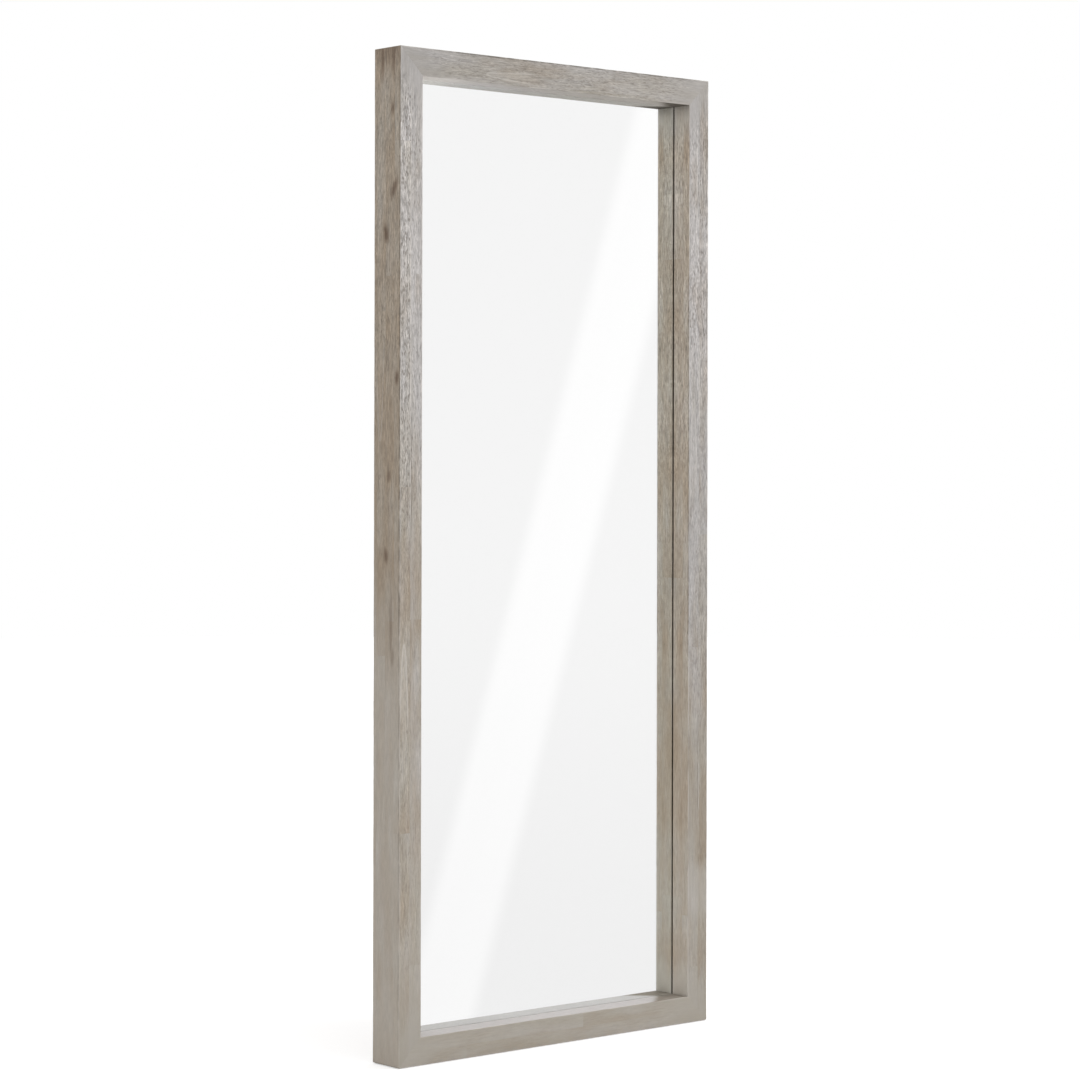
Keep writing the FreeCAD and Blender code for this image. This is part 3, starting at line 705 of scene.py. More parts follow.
@dataclass(frozen=True)
class Weathering:
    """How a side has weathered along its member, and the marks on it.

    Brush is how open the grain is, cool how much wash is left, brown how far the bare wood shows,
    grey how dull it has gone and pale how bleached; at the left end of the top rail's underside, cool
    and pale also paint a highlight. Speckle is how flecked the open grain is. The stave beyond the
    seam has more wash than the one before it, by the apart profile, and the one before it has more
    flecks, by near_flecks times that profile.
    """

    brush: Profile = steady(0.6)
    cool: Profile = steady(0.3)
    brown: Profile = steady(0.3)
    grey: Profile = steady(0.0)
    pale: Profile = steady(0.0)
    apart: Profile = steady(0.0)
    speckle: float = 1.0
    near_flecks: float = 2.5
    seam: float = 0.0245
    knots: tuple[Knot, ...] = ()
    arches: tuple[Arch, ...] = ()
    dark_lines_and_arris_shade: tuple[Line, ...] = ()
    pale_lines: tuple[Line, ...] = ()
    painted_corner_shades: tuple[PaintedCornerShade, ...] = ()

    def levels(self, share: float) -> Iterator[float]:
        """Brush, cool, brown, grey, pale and apart at a share of the member's length."""
        profiles = (self.brush, self.cool, self.brown, self.grey, self.pale, self.apart)
        return (level(profile, share) for profile in profiles)


PLAIN = Weathering()
WEATHERING = {
    ("left_stile", Side.FRONT): Weathering(
        brush=((0.0, 0.1), (0.06, 0.2), (0.15, 0.55), (0.45, 0.6), (0.65, 1.2), (0.93, 1.2), (1.0, 0.7)),
        cool=((0.0, 0.15), (0.45, 0.25), (0.52, 0.38), (0.6, 0.65), (0.69, 0.95), (1.0, 0.95)),
        brown=(
            (0.0, 0.05), (0.1, 0.15), (0.38, 0.2), (0.43, 0.4), (0.49, 0.4), (0.56, 0.08), (0.67, -0.1),
            (1.0, -0.1),
        ),
        grey=((0.0, 0.09), (0.12, 0.0), (0.5, 0.02), (0.6, 0.06), (0.9, 0.05), (1.0, 0.25)),
        pale=((0.0, 0.0), (0.1, 0.04), (0.5, 0.04), (0.7, 0.09), (1.0, 0.0)),
        apart=((0.0, 0.06), (0.5, 0.08), (0.65, 0.10), (1.0, 0.10)),
        speckle=0.8,
        arches=(
            Arch(0.590, 0.757, 0.0105, 0.0100, 0.55),
            Arch(0.480, 0.640, 0.0120, 0.0060, 0.25),
        ),
        dark_lines_and_arris_shade=(Line(0.93, 1.20, 0.0262, 0.0016, 0.35),),
        pale_lines=(Line(0.95, 1.75, 0.0242, 0.0018, 0.55), Line(0.80, 1.78, 0.0024, 0.0018, 0.12)),
    ),
    ("left_stile", Side.OUTER): Weathering(
        brush=((0.0, 0.3), (0.4, 0.4), (0.6, 0.8), (0.75, 1.1), (1.0, 1.2)),
        cool=steady(0.0),
        brown=(
            (0.0, 0.3), (0.35, 0.3), (0.43, 0.5), (0.52, 0.8), (0.72, 0.85), (0.88, 0.65), (0.96, 0.75),
            (1.0, 1.2),
        ),
        pale=((0.0, 0.17), (0.35, 0.17), (0.5, 0.06), (1.0, 0.09)),
        speckle=0.6,
        knots=(
            Knot(1.5735, 0.0565, 0.028, 0.0130, 0.70, 0.45),
            Knot(1.4935, 0.0350, 0.025, 0.0105, 0.80, -0.15),
            Knot(1.7170, 0.0530, 0.017, 0.0070, 0.60),
            Knot(1.2350, 0.0660, 0.020, 0.0078, 0.75),
            Knot(1.0585, 0.0430, 0.017, 0.0088, 0.60),
            Knot(0.9160, 0.0355, 0.020, 0.0092, 0.70, -0.1),
            Knot(0.7900, 0.0500, 0.100, 0.0066, 0.40),
            Knot(0.7350, 0.0540, 0.027, 0.0090, 0.38),
            Knot(1.8340, 0.0380, 0.052, 0.0600, 0.45, 0.0, 0.0001),
            Knot(1.8180, 0.0240, 0.070, 0.0070, 0.70, 0.0, 0.0001),
            Knot(1.8200, 0.0560, 0.062, 0.0100, 0.60, 0.0, 0.0001),
        ),
        arches=(Arch(1.330, 1.120, 0.0180, 0.0120, 0.30),),
        # painted shade beside the front arris
        dark_lines_and_arris_shade=(Line(0.02, 0.85, 0.0746, 0.0020, 0.25), Line(0.75, 1.85, 0.0746, 0.0024, 0.55)),
        pale_lines=(Line(1.30, 1.76, 0.0665, 0.0120, 0.12),),
    ),
    ("right_stile", Side.FRONT): Weathering(
        brush=(
            (0.0, 0.1), (0.05, 0.45), (0.09, 0.45), (0.12, 0.2), (0.155, 0.2), (0.175, 0.5), (0.2, 0.3),
            (0.4, 0.8), (0.62, 0.9), (0.75, 1.3), (1.0, 1.1),
        ),
        cool=(
            (0.0, 0.1), (0.1, 0.12), (0.125, 0.3), (0.155, 0.3), (0.18, 0.12), (0.3, 0.15), (0.36, 0.5),
            (0.5, 0.85), (0.8, 0.95), (1.0, 0.75),
        ),
        brown=(
            (0.0, 0.05), (0.06, 0.3), (0.1, 0.25), (0.125, 0.0), (0.155, 0.0), (0.175, 0.35), (0.4, 0.3),
            (0.5, 0.0), (1.0, 0.0),
        ),
        grey=(
            (0.0, 0.1), (0.1, 0.12), (0.125, 0.04), (0.155, 0.04), (0.18, 0.14), (0.25, 0.17), (0.45, 0.2),
            (0.6, 0.24), (0.78, 0.04), (0.88, 0.14), (1.0, 0.3),
        ),
        apart=((0.0, 0.07), (0.35, 0.08), (0.5, 0.06), (0.7, 0.08), (1.0, 0.09)),
        speckle=0.6,
        near_flecks=-4.0,
        seam=0.0236,
        arches=(Arch(0.980, 1.210, 0.0380, 0.0100, 0.35),),
        dark_lines_and_arris_shade=(Line(0.38, 0.60, 0.0250, 0.0018, 0.35),),
        pale_lines=(
            Line(0.36, 0.56, 0.0230, 0.0018, 0.40),
            Line(1.14, 1.34, 0.0235, 0.0018, 0.50),
            Line(1.46, 1.74, 0.0300, 0.0018, 0.45),
        ),
    ),
    ("right_stile", Side.INNER): Weathering(
        brush=((0.0, 0.4), (0.2, 0.4), (0.5, 0.8), (0.62, 1.1), (1.0, 1.2)),
        cool=steady(0.0),
        brown=((0.0, 0.45), (0.085, 0.45), (0.12, 0.16), (0.18, 0.16), (0.225, 0.55), (1.0, 0.55)),
        grey=((0.0, 0.0), (0.25, 0.04), (0.45, 0.1), (0.6, 0.04), (1.0, 0.0)),
        pale=((0.0, 0.1), (0.03, 0.05), (0.1, 0.0), (1.0, 0.04)),
        speckle=0.55,
        dark_lines_and_arris_shade=(Line(0.70, 1.45, 0.0012, 0.0026, 0.35),),
        # painted shade at the head of the inner side, under the top rail
        painted_corner_shades=(PaintedCornerShade(1.775, 0.020, -0.4, 0.35, 0.0),),
    ),
    ("right_stile", Side.OUTER): Weathering(
        knots=(
            Knot(1.3100, 0.0340, 0.025, 0.0110, 0.70, 0.2),
            Knot(0.6200, 0.0500, 0.020, 0.0085, 0.60),
        ),
        arches=(Arch(0.900, 1.150, 0.0450, 0.0150, 0.45),),
    ),
    ("top_rail", Side.FRONT): Weathering(
        brush=steady(0.7),
        cool=((0.0, 0.55), (0.22, 0.5), (0.75, 0.5), (0.85, 0.6), (1.0, 0.65)),
        brown=((0.0, -0.05), (0.2, -0.1), (0.27, 0.1), (0.5, 0.0), (0.72, 0.1), (0.8, -0.15), (1.0, -0.05)),
        grey=((0.0, 0.29), (0.3, 0.27), (0.6, 0.26), (1.0, 0.28)),
        arches=(Arch(0.330, 0.200, 0.0350, 0.0100, 0.35),),
        # painted shade along the top arris
        dark_lines_and_arris_shade=(Line(0.08, 0.74, 0.0, 0.0035, 0.60),),
    ),
    ("top_rail", Side.INNER): Weathering(
        brush=steady(0.35),
        # painted highlight: cool and pale make the left end of the underside paler
        cool=((0.0, 1.2), (0.25, 0.9), (0.5, 0.5), (1.0, 0.4)),
        brown=steady(-0.3),
        grey=((0.0, 0.0), (0.2, 0.1), (0.45, 0.22), (1.0, 0.24)),
        pale=((0.0, 0.75), (0.12, 0.7), (0.28, 0.05), (0.4, 0.0), (1.0, 0.0)),
        # painted shade in the corner by the right stile
        painted_corner_shades=(PaintedCornerShade(0.640, 0.018, 1.1, 0.88, 0.5),),
    ),
    ("top_rail", Side.OUTER): Weathering(
        knots=(Knot(0.4700, 0.0260, 0.022, 0.0095, 0.60),),
        arches=(Arch(0.250, 0.400, 0.0300, 0.0120, 0.45),),
        # painted shade along the front arris, on the top
        dark_lines_and_arris_shade=(Line(0.08, 0.74, 0.0760, 0.0035, 0.70),),
    ),
    ("bottom_rail", Side.FRONT): Weathering(
        brush=steady(0.16),
        cool=((0.0, 0.0), (1.0, 0.15)),
        brown=((0.0, 0.1), (1.0, 0.05)),
        grey=((0.0, 0.02), (0.3, 0.05), (1.0, 0.05)),
    ),
    ("bottom_rail", Side.INNER): Weathering(
        brush=steady(0.2),
        cool=steady(1.3),
        brown=steady(-0.4),
        grey=((0.0, 0.0), (0.1, 0.04), (0.3, 0.09), (0.45, 0.02), (1.0, 0.02)),
        # painted shadow of the right stile at the right end
        painted_corner_shades=(PaintedCornerShade(0.622, 0.014, 1.1, 0.48, 1.0),),
    ),
}


# Meshes and objects


def new_mesh(
    name: str,
    points: Sequence[Vector],
    faces: Sequence[tuple[int, ...]],
    materials: Iterable[bpy.types.Material],
) -> bpy.types.Mesh:
    """A mesh with its materials.

    Args:
        name: its name.
        points: its points.
        faces: each face's points, by number.
        materials: its materials in order.

    Returns:
        The mesh.
    """
    mesh = bpy.data.meshes.new(name)
    mesh.from_pydata(points, [], faces)
    for material in materials:
        mesh.materials.append(material)
    return mesh


def fix_normals(mesh: bpy.types.Mesh) -> None:
    """Turns every face of a closed mesh outward.

    Args:
        mesh: the mesh.
    """
    work = bmesh.new()
    work.from_mesh(mesh)
    bmesh.ops.recalc_face_normals(work, faces=work.faces)
    work.to_mesh(mesh)
    work.free()


def new_object(name: str, data: bpy.types.ID) -> bpy.types.Object:
    """An object in the scene.

    Args:
        name: its name.
        data: its mesh, light or camera.

    Returns:
        The object.
    """
    thing = bpy.data.objects.new(name, data)
    bpy.context.scene.collection.objects.link(thing)
    return thing


# The four members of the frame


@dataclass(frozen=True)
class Run:
    """One flat side of a section, from where it starts to where the next one does.

    Points are the distance in from the member's outer side and the depth behind its front. Corner
    is the radius of the arris at its end. Swell and brushed are how deep the side is worn in waves
    and in grooves, and rubbed is how far its rims have gone pale.
    """

    side: Side
    start: Span
    end: Span
    spacing: float
    corner: float
    swell: float
    brushed: float
    rubbed: float = 0.0

    @cached_property
    def whole(self) -> Vector:
        """The way from the side's start to its end."""
        return Vector(self.end) - Vector(self.start)

    @cached_property
    def along(self) -> Vector:
        """The direction in which the side runs."""
        return self.whole.normalized()

    @cached_property
    def outward(self) -> Vector:
        """The direction that the side faces."""
        return Vector((self.along.y, -self.along.x))


@dataclass(frozen=True)
class MemberPlan:
    """How a member lies: its node, where it starts, which way it runs and which way is inward."""

    node: str
    start: Vector
    runs: Vector
    inward: Vector
    length: float
    first_corner: float
    last_corner: float
    grain: Grain
    seed: float


class Field(IntEnum):
    """The fields of noise on a member. Waves and grooves have one for each side, from these on."""

    WAVES = 0
    GROOVES = 6
    SLOW_WEAR = 20
    QUICK_WEAR = 21
    DENTS = 22
    RUBBED = 30
    DASHES = 31


@dataclass
class FrameMember:
    """A stile or rail: mitred, rabbeted, brushed, with worn arrises.

    Lumps are the length and width of the lumps in a field of noise. A fade is the distances, from
    the mitre or from a side's rim, over which something comes or goes.
    """

    plan: MemberPlan
    sides: tuple[Run, ...]
    station: float = 0.005
    end_stations: tuple[float, ...] = (0.0, 0.0006, 0.0013, 0.0021, 0.003, 0.0042, 0.006, 0.0085)
    arc_steps: int = 4
    smooth_degrees: float = 50.0
    field_gap: float = 17.3
    wave_lumps: Span = (0.26, 0.03)
    groove_lumps: Span = (0.05, 0.0032)
    dash_lumps: Span = (0.013, 0.05)
    groove_fade: Span = (0.004, 0.05)
    depth_fade: Span = (-0.001, 0.012)
    mitre_depth: float = 0.00012
    mitre_fade: Span = (0.0, 0.0007)
    colour_fade: Span = (0.008, 0.06)
    rim_fade: Span = (0.0005, 0.0028)
    seam_blur: float = 0.003

    def weathering(self, run: Run) -> Weathering:
        """How a side has weathered."""
        return WEATHERING.get((self.plan.node, run.side), PLAIN)

    def stations(self) -> list[float]:
        """Distances from the start of the member's outer side, close together at the mitres."""
        length, near_end = self.plan.length, self.end_stations
        middle = length - 2 * near_end[-1]
        count = round(middle / self.station)
        between = [near_end[-1] + middle * number / count for number in range(1, count)]
        return [*near_end, *between, *(length - place for place in reversed(near_end))]

    def noise_at(self, along: float, across: float, long: float, wide: float, layer: int) -> float:
        """Noise from about -1 to 1 in lumps of that length and width, from a field of its own."""
        return noise.noise(Vector((along / long, across / wide, self.plan.seed + self.field_gap * layer)))

    def sunk(self, run: Run, along: float, across: float, mitre: float) -> float:
        """How far the surface lies under the flat side.

        Args:
            run: the side.
            along: distance along the member.
            across: distance across the side.
            mitre: distance to the nearer mitre.

        Returns:
            The depth in metres.
        """
        number = run.side.number
        waves = self.noise_at(along, across, *self.wave_lumps, Field.WAVES + number)
        grooves = self.noise_at(along, across, *self.groove_lumps, Field.GROOVES + number)
        depth = run.swell * (0.5 + 0.5 * waves)
        depth += run.brushed * max(0.0, grooves - 0.05) * (0.25 + 0.75 * ease(mitre, *self.groove_fade))
        for knot in self.weathering(run).knots:
            depth += knot.sunk * knot.share(along, across)
        joint = self.mitre_depth * (1 - ease(mitre, *self.mitre_fade))
        return depth * ease(mitre, *self.depth_fade) + joint

    def rounding(self, run: Run, along: float) -> float:
        """How round the arris at the end of a side is worn.

        Args:
            run: the side that ends in the arris.
            along: distance along the member.

        Returns:
            Its radius, or 0 where the corner is cut sharp.
        """
        if not run.corner:
            return 0.0
        slow, quick, dent = (
            self.noise_at(along, run.side.number, long, 1.0, layer)
            for long, layer in ((0.085, Field.SLOW_WEAR), (0.013, Field.QUICK_WEAR), (0.02, Field.DENTS))
        )
        return run.corner * (1.0 + 0.45 * slow + 0.3 * quick + 1.6 * max(0.0, dent - 0.35))

    def wear(self, run: Run, along: float) -> float:
        """How rubbed an arris is, from 0 to 1."""
        return ease(self.noise_at(along, run.side.number, 0.05, 1.0, Field.RUBBED), -0.35, 0.25)

    def section(self, where: float) -> Iterator[tuple[Vector, float, dict[str, float]]]:
        """The points round the member at one station.

        Args:
            where: the station, as a distance along the outer side.

        Yields:
            Each point of the section, its distance along the member and its masks.
        """
        share = where / self.plan.length
        radii = [self.rounding(run, where) for run in self.sides]
        for number, run in enumerate(self.sides):
            before, after = radii[number - 1], radii[number]
            last, following = self.sides[number - 1], self.sides[(number + 1) % len(self.sides)]
            start = Vector(run.start) + run.along * before
            end = Vector(run.end) - run.along * after
            count = max(1, round(run.whole.length / run.spacing))
            for step in range(1 if before else 0, count + 1 if after else count):
                owner = run if step else last
                yield self.dressed(start.lerp(end, step / count), share, owner, owner)
            if after:
                centre = end + following.along * after
                for step in range(1, self.arc_steps + 1):
                    turn = math.pi / 2 * step / self.arc_steps
                    spoke = run.outward * math.cos(turn) + run.along * math.sin(turn)
                    yield self.dressed(centre + spoke * after, share, run, following, turn)

    def dressed(
        self, flat: Vector, share: float, run: Run, following: Run, turn: float = 0.0
    ) -> tuple[Vector, float, dict[str, float]]:
        """A point of the section, sunk by the wear, with its masks.

        Args:
            flat: the point before wear, inward and depth.
            share: the station as a share of the member's length.
            run: the side that it is on, or that ends at its arris.
            following: the side that begins at its arris.
            turn: how far round the arris it is, as an angle.

        Returns:
            The point, its distance along the member and its masks.
        """
        inward = flat.x
        along = inward + share * (self.plan.length - 2 * inward)
        mitre = min(along - inward, self.plan.length - inward - along) * math.sqrt(0.5)
        across = (flat - Vector(run.start)).dot(run.along)
        after = math.sin(turn) ** 2
        depth = self.sunk(run, along, across, mitre) * (1 - after)
        outward = run.outward
        masks = self.masks(run, along, across, mitre)
        if after:
            later = (flat - Vector(following.start)).dot(following.along)
            depth += self.sunk(following, along, later, mitre) * after
            outward = run.outward * math.cos(turn) + following.outward * math.sin(turn)
            others = self.masks(following, along, 0.0, mitre)
            masks = {name: value + (others[name] - value) * after for name, value in masks.items()}
        masks["wear"] = max(masks["wear"], 0.5 * math.sin(2 * turn) * self.wear(run, along))
        return flat - outward * depth, along, masks

    def masks(self, run: Run, along: float, across: float, mitre: float) -> dict[str, float]:
        """The masks that the finish reads.

        Args:
            run: the side.
            along: distance along the member.
            across: distance across the side.
            mitre: distance to the nearer mitre.

        Returns:
            Each mask's value at the point.
        """
        worn, place = self.weathering(run), (along, across)
        brush, cool, brown, grey, bleached, apart = worn.levels(along / self.plan.length)
        calm = 0.0 if run.side is Side.OUTER else 1 - ease(mitre, *self.colour_fade)
        lean = apart * (2 * ease(across, worn.seam - self.seam_blur, worn.seam + self.seam_blur) - 1)
        rim = min(across, run.whole.length - across)
        rubbed = run.rubbed * (1 - ease(rim, *self.rim_fade)) * self.wear(run, along)
        rubbed *= min(1.0, 0.3 + 0.6 * brush)
        dashes = ease(self.noise_at(along, across, *self.dash_lumps, Field.DASHES), -0.6, 0.2)
        pale, dark, light = (
            strongest(mark.share(*place) for mark in marks)
            for marks in (worn.arches, worn.dark_lines_and_arris_shade, worn.pale_lines)
        )
        # painted shade in the inner corners: how dark it is, and how far it takes the wash out
        corner = strongest(end.share(*place) * end.dark for end in worn.painted_corner_shades)
        bare = strongest(end.share(*place) * end.bare for end in worn.painted_corner_shades)
        return {
            "brush": brush * (1 - 2 * lean) * (1 - 0.65 * calm),
            "speckle": worn.speckle * brush * (1 - worn.near_flecks * lean) * (1 - calm),
            # inside the painted corner shade the wash gives way to brown
            "cool": (cool + lean) * (1 - bare),
            "brown": ((brown - lean) * (1 - calm) - 0.15 * calm) * (1 - bare) + 0.3 * bare,
            "grey": grey,
            "knot": strongest(knot.dark * knot.share(*place) for knot in worn.knots),
            # bleached also carries the painted highlight on the top rail's underside
            "wear": max(pale, rubbed, bleached * (1 - bare), light * dashes),
            # dark lines along seams, painted shade along arrises, and painted shade in the inner corners
            "stain_and_shade": max(dark * dashes, corner),
        }

    def cornered(self, along: float, inward: float) -> Span:
        """Rounds the outer corner of the frame: squares round it become circles.

        Args:
            along: distance along the member.
            inward: distance in from its outer side.

        Returns:
            The rounded along and inward distances.
        """
        length = self.plan.length
        for corner, flipped in ((self.plan.first_corner, False), (self.plan.last_corner, True)):
            end = length - along if flipped else along
            if end < corner and inward < corner:
                aside, down = corner - end, corner - inward
                shrink = max(aside, down) / math.hypot(aside, down)
                end, inward = corner - aside * shrink, corner - down * shrink
                return (length - end if flipped else end), inward
        return along, inward

    def build(self, material: bpy.types.Material) -> bpy.types.Object:
        """Makes the member's mesh and object.

        Args:
            material: its finish.

        Returns:
            The object.
        """
        plan = self.plan
        points: list[Vector] = []
        masks: dict[str, list[float]] = {}
        stations = self.stations()
        for where in stations:
            for flat, along, values in self.section(where):
                along, inward = self.cornered(along, flat.x)
                place = plan.start + plan.runs * along + plan.inward * inward
                points.append(place + Vector((0, flat.y, 0)))
                for name, value in values.items():
                    masks.setdefault(name, []).append(value)
        ring = len(points) // len(stations)
        faces = [
            (row + spot, row + (spot + 1) % ring, row + ring + (spot + 1) % ring, row + ring + spot)
            for row in range(0, len(points) - ring, ring)
            for spot in range(ring)
        ]
        faces += [tuple(range(ring)), tuple(range(len(points) - ring, len(points)))]
        mesh = new_mesh(f"washed_{plan.node}", points, faces, [material])
        for label, values in masks.items():
            mesh.attributes.new(label, "FLOAT", "POINT").data.foreach_set("value", values)
        fix_normals(mesh)
        mesh.polygons.foreach_set("use_smooth", [True] * len(mesh.polygons))
        mesh.set_sharp_from_angle(angle=math.radians(self.smooth_degrees))
        return new_object(mesh.name, mesh)


@dataclass
class BoxFrame:
    """The four members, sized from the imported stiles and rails."""

    lip: float
    rabbet: float
    arris: float = 0.0012
    head_corner: float = 0.0015
    foot_corner: float = 0.0035

    def runs(self, face: float, depth: float) -> tuple[Run, ...]:
        """The sides of a member's section.

        Args:
            face: the width of its front.
            depth: from its front to its back.

        Returns:
            The sides in the order in which they are drawn.
        """
        wall, lip, worn = face - self.rabbet, self.lip, self.arris
        return (
            Run(Side.FRONT, (0, 0), (face, 0), 0.0011, worn * 0.8, 0.00022, 0.0004, 0.6),
            Run(Side.INNER, (face, 0), (face, lip), 0.0015, 0.0, 0.00012, 0.00025),
            Run(Side.LIP, (face, lip), (wall, lip), 0.004, 0.0, 0.0, 0.0),
            Run(Side.WALL, (wall, lip), (wall, depth), 0.006, 0.0, 0.0, 0.0),
            Run(Side.BACK, (wall, depth), (0, depth), 0.002, worn, 0.00004, 0.00012),
            Run(Side.OUTER, (0, depth), (0, 0), 0.0014, worn, 0.0002, 0.00035, 0.2),
        )

    def build(self, effects: Effects) -> None:
        """Makes the four members and puts them in the place of their nodes.

        Args:
            effects: the shared node groups.
        """
        low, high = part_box("left_stile")
        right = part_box("right_stile")[1].x
        left, front, depth, face = low.x, low.y, high.y - low.y, high.x - low.x
        bottom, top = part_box("bottom_rail")[0].z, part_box("top_rail")[1].z
        width, height = right - left, top - bottom
        up, across = Vector((0, 0, 1)), Vector((1, 0, 0))
        foot, head = self.foot_corner, self.head_corner
        corner = Vector((left, front, bottom))
        beside, above = corner + across * width, corner + up * height
        finishes = {grain: WashedWood().build(effects, grain) for grain in Grain}
        for plan in (
            MemberPlan("left_stile", corner, up, across, height, foot, head, Grain.UPRIGHT, 3.1),
            MemberPlan("right_stile", beside, up, -across, height, foot, head, Grain.UPRIGHT, 41.7),
            MemberPlan("bottom_rail", corner, across, up, width, foot, foot, Grain.LEVEL, 77.2),
            MemberPlan("top_rail", above, across, -up, width, head, head, Grain.LEVEL, 112.9),
        ):
            member = FrameMember(plan, self.runs(face, depth))
            piece = member.build(finishes[plan.grain])
            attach(piece, "frame")
            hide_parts(plan.node)
            LOG.info("%s: %d points", piece.name, len(piece.data.vertices))


# The mirror glass


@dataclass
class MirrorPane:
    """The pane: clear glass in front, silver behind, ground edges."""

    arris: float = 0.0006
    gap: float = 0.00005

    def build(self, effects: Effects) -> None:
        """Makes the pane and puts it in the place of its node.

        Args:
            effects: the shared node groups.
        """
        low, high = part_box("mirror_glass")
        step = self.arris
        front, back = low.y + self.gap, high.y - self.gap
        points = [
            Vector((x, y, z))
            for y, inset in ((front, step), (front + step, 0.0), (back - step, 0.0), (back, step))
            for x, z in (
                (low.x + inset, low.z + inset),
                (high.x - inset, low.z + inset),
                (high.x - inset, high.z - inset),
                (low.x + inset, high.z - inset),
            )
        ]
        edges = [
            (ring + spot, ring + 4 + spot, ring + 4 + (spot + 1) % 4, ring + (spot + 1) % 4)
            for ring in range(0, 12, 4)
            for spot in range(4)
        ]
        faces = [(0, 1, 2, 3), (15, 14, 13, 12), *edges]
        mesh = new_mesh("silvered_glass", points, faces, Glass().build(effects))
        fix_normals(mesh)
        mesh.polygons.foreach_set("material_index", [0, 1] + [2] * len(edges))
        piece = new_object("silvered_glass", mesh)
        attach(piece, "frame")
        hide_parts("mirror_glass")
        LOG.info("%s: %.0f mm wide", piece.name, (high.x - low.x) / MM)


# What holds the glass and the frame together


PLANED = PlainWood()
BEECH = PlainWood("beech", tone(214, 184, 146), tone(190, 154, 112))
HARDBOARD = Mottled(
    "hardboard", tone(100, 75, 52), tone(120, 91, 64), 0.0, 0.55, 0.75, 0.05, 0.0014, 0.00012
)
ZINC = Mottled(
    "zinc_plate", tone(150, 152, 152), tone(205, 207, 206), 1.0, 0.26, 0.44, 0.006, 0.0007, 0.00002
)
YELLOW_ZINC = Mottled(
    "passivated_zinc", tone(176, 150, 92), tone(214, 192, 132), 1.0, 0.25, 0.4, 0.004, 0.0006, 0.00002
)
FOAM_TAPE = Mottled("foam_tape", tone(62, 53, 44), tone(84, 73, 62), 0.0, 0.85, 0.95)
RUBBER = Mottled("rubber", tone(28, 28, 29), tone(48, 48, 49), 0.0, 0.55, 0.75)
FELT = Mottled("pressed_felt", tone(92, 84, 76), tone(140, 130, 120), 0.0, 0.95, 1.0, 0.004, 0.0005, 0.0003)


@dataclass
class Fittings:
    """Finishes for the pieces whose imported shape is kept."""

    nodes: dict[str, bpy.types.Object]

    def dress(self, material: bpy.types.Material, words: Sequence[str]) -> None:
        """Gives a finish to the nodes whose names hold one of the words.

        Args:
            material: the finish.
            words: what to look for.
        """
        for name, piece in self.nodes.items():
            if any(word in name for word in words):
                for slot in piece.material_slots:
                    slot.material = material
                LOG.info("%s: %s", name, material.name)

    def build(self, effects: Effects) -> None:
        """Dresses every kept piece.

        Args:
            effects: the shared node groups.
        """
        for wood, grain, words in (
            (PLANED, Grain.UPRIGHT, ("left_batten", "right_batten")),
            (PLANED, Grain.LEVEL, ("top_batten", "bottom_batten", "cross_bar")),
            (BEECH, Grain.LEVEL, ("_dowels",)),
        ):
            self.dress(wood.build(effects, grain), words)
        for stuff, words in (
            (HARDBOARD, ("backing_board",)),
            (ZINC, ("_brace", "_strap", "_ring")),
            (YELLOW_ZINC, ("_screws",)),
            (FOAM_TAPE, ("_tape",)),
            (RUBBER, ("_bumper", "_block")),
            (FELT, ("_pad",)),
        ):
            self.dress(stuff.build(effects), words)


# Studio


